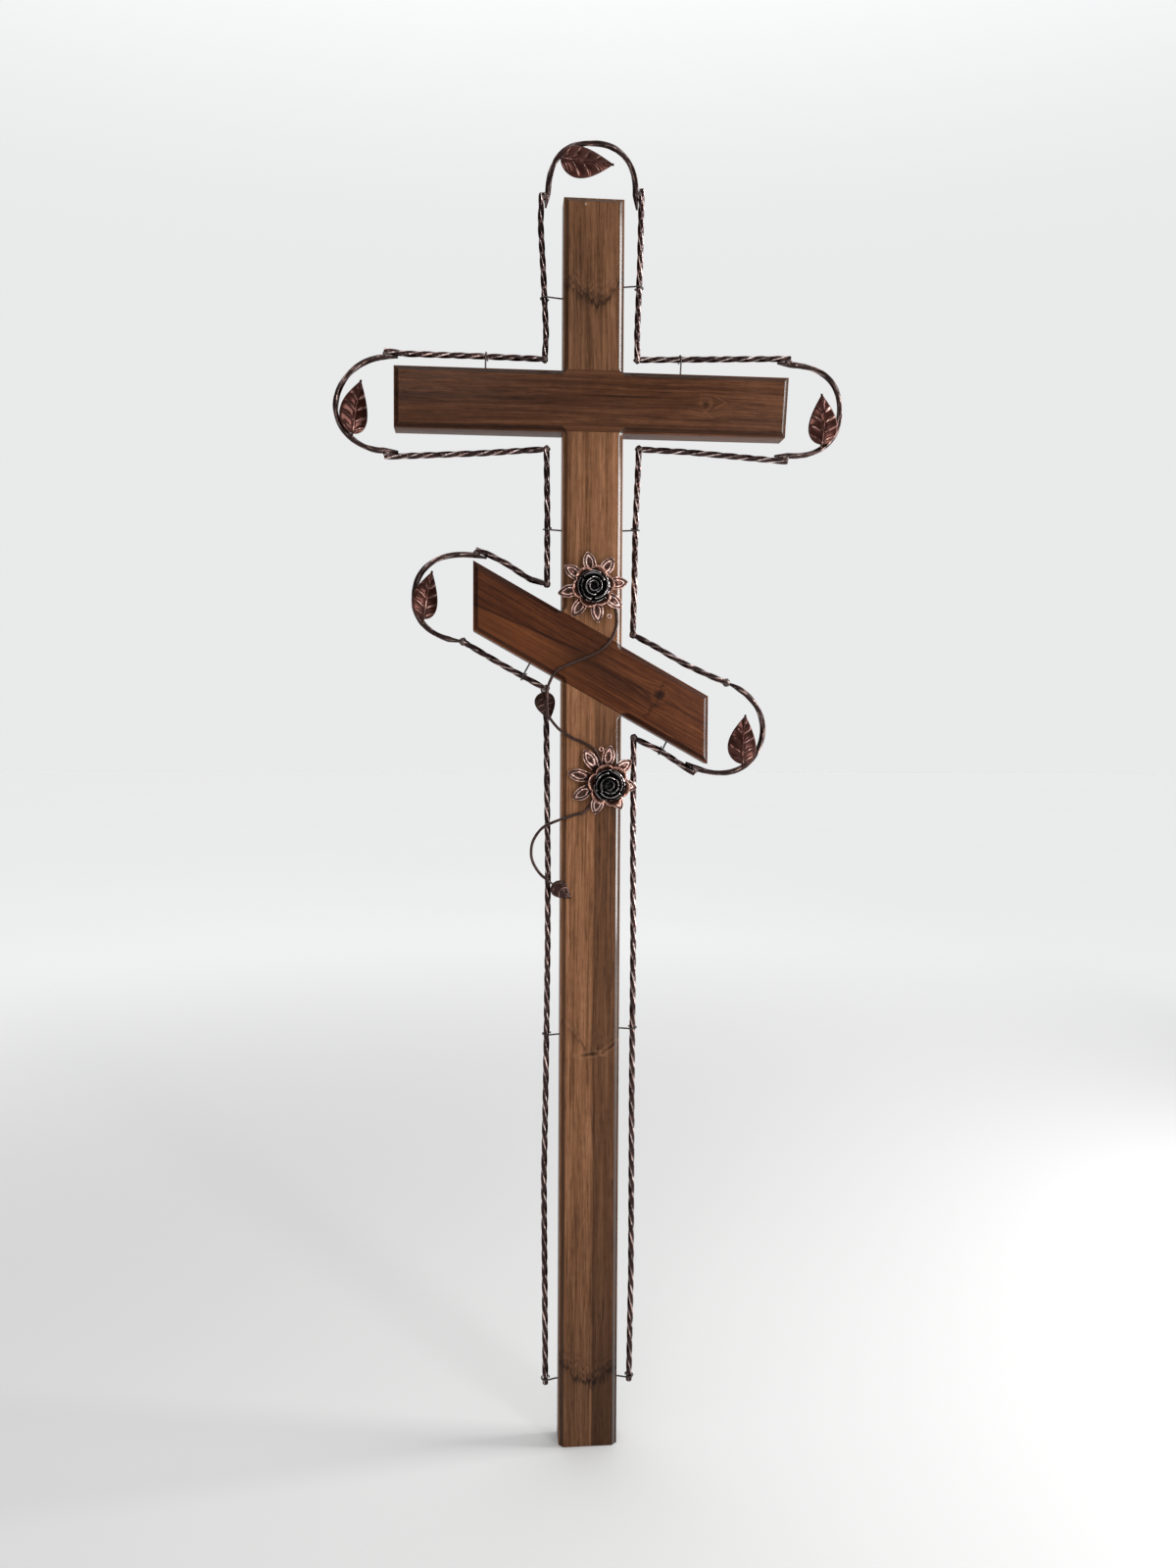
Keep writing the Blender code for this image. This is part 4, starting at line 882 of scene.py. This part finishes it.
def blob(points, faces, wear_and_glint, centre, size, rng):
    """Adds a lumpy ball of weld metal."""
    rings, around = 12, 18
    waves = [(rng.uniform(2, 6), rng.uniform(2, 6), rng.uniform(0, 6.28), rng.uniform(0.04, 0.12))
             for _ in range(5)]
    first = len(points)
    for i in range(rings + 1):
        tilt = math.pi * (i + 0.02) / (rings + 0.04)
        for j in range(around):
            turn = 2 * math.pi * j / around
            lump = sum(a * math.sin(p * tilt + s) * math.sin(round(q) * turn + s) for p, q, s, a in waves)
            way = Vector((math.sin(tilt) * math.cos(turn), 0.85 * math.sin(tilt) * math.sin(turn),
                          math.cos(tilt)))
            points.append(centre + way * (size * (1 + lump)))
            wear_and_glint.append(0.45 + 3.0 * lump)
    faces += grid_faces(rings, around, first, closed=True)
    faces.append(tuple(first + k for k in reversed(range(around))))
    faces.append(tuple(range(len(points) - around, len(points))))


def make_welds(lines, arcs):
    """Weld metal where bars meet at the corners and where the arcs lap them."""
    rng = random.Random(12)
    points, faces, wear_and_glint = [], [], []
    places = [(line[0], WELD_AT_CORNER) for edge, line in lines.values() if not edge.startswith("post")]
    for line in arcs.values():
        for end, back in ((line[0], ARC_TIP * 0.75), (line[-1], length_of(line) - ARC_TIP * 0.75)):
            near = min((bar[-1] for _, bar in lines.values()), key=lambda tip: (tip - end).length)
            butted = (near - end).length < IRON_BAR / 2
            places.append((near if butted else point_along(line, back)[0].lerp(near, 0.35), WELD_AT_TIP))
    for spot, size in places:
        blob(points, faces, wear_and_glint, flat(spot), size, rng)
    mesh_piece("weld_beads", points, faces, wear_and_glint, WELD_IRON, None, "twisted_iron", 60.0)


def make_ties(lines):
    wrap = IRON_BAR * 0.62 + TIE_WIRE / 2
    for name, (bar, share) in TIES.items():
        edge, line = lines[bar]
        middle, along = point_along(line, length_of(line) * share)
        origin, _, out = EDGES[edge]
        gap = (middle - origin).dot(out)
        root = middle - out * (gap - TOUCH)
        stub = middle - out * (gap - TIE_STUB)
        first = math.acos(wrap / (gap - TIE_STUB))
        turns = []
        steps = 36
        for step in range(steps + 1):
            wound = step / steps
            angle = first + TIE_WRAP * wound
            place = middle - out * wrap * math.cos(angle) - along * (TIE_WIRE * 1.3 * wound)
            turns.append((place.x, -wrap * math.sin(angle), place.y))
        straight = [flat(root.lerp(stub, k / 3)) for k in range(3)]
        reach = [flat(stub).lerp(Vector(turns[0]), k / 6) for k in range(6)]
        path = [*straight, *reach, *[Vector(p) for p in turns]]

        def ring(i, distance):
            wound = max(0.0, (i - len(straight) - len(reach)) / steps)
            return round_section(TIE_WIRE / 2, 10, 0.45 + 0.7 * wound)

        mesh_piece(name + "_wire", *sweep(path, ring), TIE_STEEL, name, "tie_steel")


# Leaves
def leaf_width(share):
    base, tip = 0.55, 1.10
    widest = base / (base + tip)
    return share**base * (1 - share) ** tip / (widest**base * (1 - widest) ** tip)


def leaf_placing(foot, depth, turn, yaw=0.0):
    return (Matrix.Translation((foot.x, depth, foot.y)) @ Matrix.Rotation(math.radians(turn), 4, "Y")
            @ Matrix.Rotation(math.radians(yaw), 4, "Z"))


def leaf_piece(node, length, width, crown, hand, placing, lobes, veins=5, slope=0.30, fold=0.0,
               vein_height=0.0022, material=LEAF_COPPER):
    """An embossed leaf: midrib, veins that run out and forward, and a rim that dips between them."""
    rows, columns = 64, 32
    points, wear_and_glint = [], []
    for i in range(-2, rows + 1):
        share = max(i, 0) / rows
        half = max(width / 2 * leaf_width(share), LEAF_SHEET)
        along = (LEAF_STALK + share * (length - LEAF_STALK)) if i >= 0 else LEAF_STALK * (i + 2) / 2
        bend = hand * LEAF_BEND * math.sin(math.pi * share)
        for j in range(columns + 1):
            across = 2 * j / columns - 1
            side = abs(across)
            phase = veins * (share - slope * side * (1 - 0.35 * side) * (1 - 0.3 * share))
            near = phase - math.floor(phase + 0.5)
            vein = math.exp(-(near / 0.13) ** 2) * min(1.0, 12 * share) * min(1.0, 5 * (1 - share))
            vein *= min(1.0, 6 * side) * (1 - side**6)
            rib = math.exp(-(across / 0.10) ** 2) * (0.3 + 0.7 * (1 - share))
            arch = math.sin(math.pi * (0.1 + 0.85 * share))
            rise = crown * (1 - across * across) * arch + fold * (1 - side) * arch
            rise += vein_height * (vein - 0.35) * math.sin(math.pi * min(1.0, side * 1.1)) if i >= 0 else 0.0
            rise += LEAF_RIB * rib
            spread = half * (1 + lobes * (vein - 0.5) * side) if i > 0 else half
            points.append(placing @ Vector((bend + across * spread, -rise, along)))
            # Wear on the veins, the midrib and the rim: rubbed metal that is partly painted highlight.
            wear_and_glint.append(0.15 + 0.85 * max(vein, rib) + 0.5 * side**8)
    faces = grid_faces(rows + 2, columns)
    thicken(mesh_piece(node + "_sheet", points, faces, wear_and_glint, material, node, "leaf_copper", 70.0), LEAF_SHEET)


def make_leaves(arcs):
    for name, (arc, share, turn, size, yaw, hand) in LEAVES.items():
        foot, _ = point_along(arcs[arc], length_of(arcs[arc]) * share)
        placing = leaf_placing(foot, -(ARC_REACH + TOUCH + LEAF_SHEET), turn, yaw)
        leaf_piece(name, LEAF_LENGTH * size, LEAF_WIDTH * size, LEAF_CROWN, hand, placing, lobes=0.07)


# Roses
def star_rise(share):
    return PETAL_RISE * math.sin(math.pi * share) ** 2


def make_star(level, centre, turn, depth):
    """Eight pointed petals, each with a raised rim and a raised loop inside it, round a flat hub."""
    rows, columns = 30, 20
    pitch = math.pi / PETALS
    inner = HUB_RADIUS * math.cos(pitch)
    hub_half = HUB_RADIUS * math.sin(pitch)
    points, wear_and_glint, faces = [], [], []
    rng = random.Random(len(level) + PETALS)
    for k in range(PETALS):
        middle = turn + 2 * pitch * k + rng.uniform(-0.03, 0.03)
        radial = Vector((math.cos(middle), 0, math.sin(middle)))
        sideways = Vector((-radial.z, 0, radial.x))
        droop = rng.uniform(-0.0012, 0.0010)
        first = len(points)
        for i in range(rows + 1):
            share = i / rows
            distance = inner * 0.6 + (PETAL_RADIUS - inner * 0.6) * share
            outer = max(0.0, (distance - inner) / (PETAL_RADIUS - inner))
            spread = hub_half * (1 - outer) ** 2
            spread += PETAL_WIDTH / 2 * max(math.sin(math.pi * outer**1.5), 0.0) ** 0.8
            room = distance * math.tan(pitch) - PETAL_SHEET * 0.4
            half = max(min(spread, room), 0.0006)
            for j in range(columns + 1):
                across = 2 * j / columns - 1
                rim = math.exp(-((abs(across) - 0.90) / 0.12) ** 2) * min(1.0, 4 * outer)
                loop_size = math.hypot(across / 0.48, (outer - 0.58) / 0.27)
                loop = math.exp(-((loop_size - 1.0) / 0.22) ** 2)
                tip = max(0.0, (outer - 0.9) / 0.1)
                ridge = PETAL_RIDGE * (0.85 * rim + 0.8 * loop) * math.sin(math.pi * outer) ** 0.5
                rise = star_rise(outer) + ridge + droop * outer * outer
                place = radial * distance + sideways * across * half
                points.append(Vector((centre.x + place.x, depth - rise, centre.y + place.z)))
                # Wear on the rims, the loops and the tips: rubbed metal that is partly painted highlight.
                wear_and_glint.append(0.15 + 0.85 * max(rim * 0.9, loop) + 0.4 * tip)
        faces += turned_over(grid_faces(rows, columns, first))
    obj = mesh_piece("petal_star_" + level, points, faces, wear_and_glint, PETAL_COPPER, "petals_" + level,
                     "petal_copper", 80.0)
    thicken(obj, PETAL_SHEET * 0.7)


def make_cup(level, centre, turn, depth):
    """A bowl of six overlapping wavy petals."""
    rows, columns = 16, 144
    points, wear_and_glint = [], []
    for i in range(rows + 1):
        share = i / rows
        for j in range(columns):
            angle = turn + 2 * math.pi * j / columns
            lobe = abs(math.cos(CUP_PETALS / 2 * (angle - turn)))
            edge = CUP_RADIUS * (0.80 + 0.20 * lobe**0.5)
            radius = CUP_HOLE + (edge - CUP_HOLE) * share
            outer = max(0.0, (radius - HUB_RADIUS * 0.85) / (CUP_RADIUS - HUB_RADIUS * 0.85))
            flutter = 0.0012 * math.sin(9 * angle + 1.3) + 0.0010 * math.sin(5 * angle + 0.4)
            rise = CUP_HEIGHT * outer * (0.88 + 0.12 * lobe) + flutter * share**3 - 0.0012 * share**8
            points.append(Vector((centre.x + radius * math.cos(angle), depth - max(rise, 0.0),
                                  centre.y + radius * math.sin(angle))))
            wear_and_glint.append(0.30 + 0.65 * share**6 + 0.25 * (1 - lobe) * share)
    faces = turned_over(grid_faces(rows, columns, closed=True))
    faces.append(tuple(range(columns)))
    obj = mesh_piece("cup_petals_" + level, points, faces, wear_and_glint, CUP_COPPER, "cup_" + level,
                     "petal_copper", 80.0)
    thicken(obj, PETAL_SHEET * 0.7)


def make_rose(level, centre, depth, seed):
    """A bud of curled petals wound round each other, from an open outer row to a tight middle."""
    rng = random.Random(seed)
    points, wear_and_glint, faces = [], [], []
    rows, columns = 14, 22
    start = rng.uniform(0, 6.28)
    for count, low_radius, high_radius, low, high, overlap in ROSE_ROWS:
        start += 0.9
        for k in range(count):
            middle = start + 2 * math.pi * k / count + rng.uniform(-0.10, 0.10)
            lean = rng.uniform(-0.05, 0.05)
            first = len(points)
            for i in range(rows + 1):
                up = i / rows
                for j in range(columns + 1):
                    across = 2 * j / columns - 1
                    angle = middle + across * math.pi / count * overlap * (1.08 - 0.22 * up * up)
                    belly = low_radius + (high_radius - low_radius) * up**1.4
                    lip = 0.07 * max(0.0, (up - 0.72) / 0.28) ** 2
                    wind = 0.050 * across
                    radius = ROSE_RADIUS * (belly + lip + wind + lean * up)
                    height = low + (high - low) * up * (1 - 0.10 * across * across)
                    height -= 0.055 * max(0.0, (up - 0.80) / 0.20) ** 2
                    height += 0.018 * math.sin(3.1 * across + middle * 3) * up
                    radius = min(radius, ROSE_RADIUS * 0.995)
                    points.append(Vector((
                        centre.x + radius * math.cos(angle),
                        depth - ROSE_HEIGHT * min(height, 0.99),
                        centre.y + radius * math.sin(angle),
                    )))
                    # Wear on the petals' lips: bright rubbed lines that paint the highlights along the folds.
                    wear_and_glint.append(0.20 + 0.95 * max(0.0, (up - 0.86) / 0.14) + 0.25 * abs(across) ** 10)
            faces += grid_faces(rows, columns, first)
    obj = mesh_piece("rose_bud_" + level, points, faces, wear_and_glint, ROSE_BLACK, "rose_" + level,
                     "rose_black", 80.0)
    thicken(obj, ROSE_PETAL)
    rings, around = 10, 28
    points, wear_and_glint = [], []
    for i in range(rings + 1):
        angle = math.pi * i / rings
        for j in range(around):
            turn = 2 * math.pi * j / around
            radius = ROSE_RADIUS * 0.62 * max(0.02, math.sin(angle)) * (1 + 0.04 * math.sin(5 * turn))
            height = ROSE_HEIGHT * (0.30 - 0.29 * math.cos(angle))
            points.append(Vector((centre.x + radius * math.cos(turn), depth - height,
                                  centre.y + radius * math.sin(turn))))
            wear_and_glint.append(0.1)
    faces = turned_over(grid_faces(rings, around, closed=True))
    faces.append(tuple(range(around)))
    faces.append(tuple(reversed(range(len(points) - around, len(points)))))
    mesh_piece("rose_heart_" + level, points, faces, wear_and_glint, ROSE_BLACK, None, "rose_black", 80.0)


def make_flower(level, centre, turn, lean, seed):
    hub_front = FRONT - VINE_WIRE - 2 * TOUCH - PETAL_SHEET
    make_star(level, centre, turn, hub_front)
    inner = HUB_RADIUS * math.cos(math.pi / PETALS)
    share = (HUB_RADIUS + Vector(lean).length - inner) / (PETAL_RADIUS - inner)
    neck = star_rise(share) + PETAL_RIDGE * math.sin(math.pi * share) + TOUCH
    cup_front = hub_front - neck - PETAL_SHEET
    middle = centre + Vector(lean)
    make_cup(level, middle, turn, cup_front)
    make_rose(level, middle, cup_front - TOUCH, seed)


# Vine
def make_vine(lines):
    upper = SLANT_MIDDLE + Vector(FLOWER_UPPER)
    lower = SLANT_MIDDLE + Vector(FLOWER_LOWER)
    corner = lines["iron_low_left"][1][0]
    wood_depth = FRONT - TOUCH - VINE_WIRE / 2
    leaf_depth = -(BAR_REACH + TOUCH + LEAF_SHEET)
    iron = leaf_depth - VINE_LEAF_FOLD - LEAF_CROWN / 2 - LEAF_RIB - TOUCH - VINE_WIRE / 2
    first = [(upper.x + x, wood_depth, upper.y + z) for x, z in VINE_OFF_UPPER_ROSE]
    first += [(corner.x + x, wood_depth + share * (iron - wood_depth), corner.y + z)
              for x, z, share in VINE_PAST_CORNER]
    first += [(lower.x + x, wood_depth, lower.y + z) for x, z in VINE_TO_LOWER_ROSE]
    second = [(lower.x + x, wood_depth + share * VINE_SINK, lower.y + z)
              for x, z, share in VINE_BELOW_LOWER_ROSE]
    routes = {"vine_upper": first, "vine_lower": second}
    for name, route in routes.items():
        path = smooth_route(route, 0.0025)
        rng = random.Random(len(name))
        lumps = [rng.uniform(-1, 1) for _ in range(120)]

        def ring(i, distance):
            k = i // 4 % 119
            lump = lumps[k] + (lumps[k + 1] - lumps[k]) * (i % 4) / 4
            return round_section(VINE_WIRE / 2 * (0.96 + 0.035 * lump), 14, 0.45 + 0.25 * lump)

        mesh_piece(name + "_wire", *sweep(path, ring), VINE_IRON, name, "twisted_iron")
    placing = leaf_placing(corner + Vector(VINE_LEAF_UPPER_FOOT), leaf_depth, VINE_LEAF_UPPER_TURN)
    leaf_piece("vine_leaf_upper", VINE_LEAF_LENGTH, VINE_LEAF_WIDTH, LEAF_CROWN / 2, 0, placing, lobes=0.18,
               slope=0.10, fold=VINE_LEAF_FOLD, vein_height=0.0016, material=VINE_LEAF_COPPER)
    end, before = Vector(routes["vine_lower"][-1]), Vector(routes["vine_lower"][-2])
    foot = end + (end - before).normalized() * 3 * TOUCH
    placing = leaf_placing(Vector((foot.x, foot.z)), FRONT - TOUCH - LEAF_SHEET, VINE_LEAF_LOWER_TURN)
    leaf_piece("vine_leaf_lower", VINE_LEAF_LOWER_SCALE * VINE_LEAF_LENGTH,
               VINE_LEAF_LOWER_SCALE * VINE_LEAF_WIDTH, LEAF_CROWN, 0, placing, lobes=0.22, veins=3,
               slope=0.45, vein_height=0.0012, material=VINE_LEAF_COPPER)
    for level, anchor, (x, z) in (("upper", upper, EYE_UPPER), ("lower", lower, EYE_LOWER)):
        points, wear_and_glint = [], []
        around, tube = 32, 10
        for i in range(around):
            turn = 2 * math.pi * i / around
            for j in range(tube):
                angle = 2 * math.pi * j / tube
                reach = EYE_RADIUS + EYE_WIRE / 2 * math.cos(angle)
                points.append(Vector((
                    anchor.x + x + reach * math.cos(turn),
                    FRONT - TOUCH - EYE_WIRE / 2 - EYE_WIRE / 2 * math.sin(angle),
                    anchor.y + z + reach * math.sin(turn),
                )))
                wear_and_glint.append(0.9)
        faces = []
        for i in range(around):
            for j in range(tube):
                a, b = i * tube + j, i * tube + (j + 1) % tube
                c, d = (i + 1) % around * tube + (j + 1) % tube, (i + 1) % around * tube + j
                faces.append((a, b, c, d))
        mesh_piece("eye_ring_" + level, points, faces, wear_and_glint, PETAL_COPPER, "eye_" + level, "twisted_iron")


lines = iron_lines()
arcs = arc_lines(lines)
dress_board("post", POST_WOOD)
dress_board("crossbar", CROSSBAR_WOOD)
dress_board("slanted_bar", SLANT_WOOD)
make_iron(lines, arcs)
make_welds(lines, arcs)
make_ties(lines)
make_leaves(arcs)
make_flower("upper", SLANT_MIDDLE + Vector(FLOWER_UPPER), FLOWER_UPPER_TURN, (0, 0), 5)
make_flower("lower", SLANT_MIDDLE + Vector(FLOWER_LOWER), FLOWER_LOWER_TURN, ROSE_LEAN, 9)
make_vine(lines)


# Studio
def make_floor():
    """A pale floor whose colour brightens away from the cross: painted light that evens out the lamps' pool
    of light near the cross.
    """
    n = Nodes(bpy.data.materials.new("pale_floor"))
    place = n.coordinates()
    squares = n.node("VectorMath", {0: place, 1: place}, operation="MULTIPLY")
    away = n.math("SQRT", n.dot(squares, (1, 1, 0)))
    colour = n.mix(n.smooth(away, 0.8, 5.0), (0.58, 0.58, 0.575), (0.98, 0.98, 0.975))
    colour = n.mix(n.noise(place, 0.8, 3.0, 0.5) * 0.04, colour, (0.5, 0.5, 0.5))
    material = n.finish(Base_Color=colour, Roughness=0.85)
    bpy.ops.mesh.primitive_plane_add(size=60.0, location=(0, 0, -0.0002))
    floor = bpy.context.object
    floor.name = "studio_floor"
    floor.data.materials.append(material)


def make_light(name, location, target, size, energy):
    data = bpy.data.lights.new(name, "AREA")
    data.shape = "RECTANGLE"
    data.size, data.size_y = size
    data.energy = energy
    light = bpy.data.objects.new(name, data)
    light.location = location
    light.rotation_euler = (Vector(target) - Vector(location)).to_track_quat("-Z", "Y").to_euler()
    bpy.context.scene.collection.objects.link(light)


def make_world():
    """Bright behind the cross and above it, dim behind the camera."""
    n = Nodes(bpy.data.worlds.new("studio"))
    direction = n.coordinates("Generated")
    behind = n.smooth(n.dot(direction, (0.30, 0.94, 0.10)), 0.15, 0.75, 0.20, 0.860)
    above = n.smooth(n.dot(direction, (0.0, 0.0, 1.0)), 0.35, 1.0, 0.0, 0.98)
    background = n.tree.nodes["Background"]
    n.put(background.inputs["Strength"], behind + above)
    n.put(background.inputs["Color"], (0.95, 0.955, 0.96))
    bpy.context.scene.world = n.owner
    bpy.context.scene.view_settings.view_transform = "Standard"


def make_camera():
    """The camera that the photograph's edges were fitted with."""
    yaw, pitch, roll = math.radians(5.064), math.radians(-2.656), math.radians(-0.316)
    right = Vector((math.cos(yaw), -math.sin(yaw), 0))
    ahead = Vector((math.sin(yaw), math.cos(yaw), 0))
    forward = ahead * math.cos(pitch) + Vector((0, 0, math.sin(pitch)))
    up = -ahead * math.sin(pitch) + Vector((0, 0, math.cos(pitch)))
    side = right * math.cos(roll) - up * math.sin(roll)
    top = right * math.sin(roll) + up * math.cos(roll)
    data = bpy.data.cameras.new("camera")
    data.sensor_width = 36.0
    data.lens = 27.098
    camera = bpy.data.objects.new("camera", data)
    rotation = Matrix((side, top, -forward)).transposed()
    camera.matrix_world = Matrix.Translation((-0.1712, -1.8928, 1.1713)) @ rotation.to_4x4()
    bpy.context.scene.collection.objects.link(camera)
    bpy.context.scene.camera = camera


make_floor()
make_light("window_right", (2.6, -0.06, 1.75), (0, 0, 1.75), (0.9, 3.3), 112.0)
make_light("window_front", (1.9, -2.9, 1.50), (0, 0, 1.1), (0.45, 2.4), 34.0)
make_light("soft_front", (-0.9, -3.2, 2.9), (0, 0, 1.1), (1.0, 0.8), 17.0)
make_world()
make_camera()
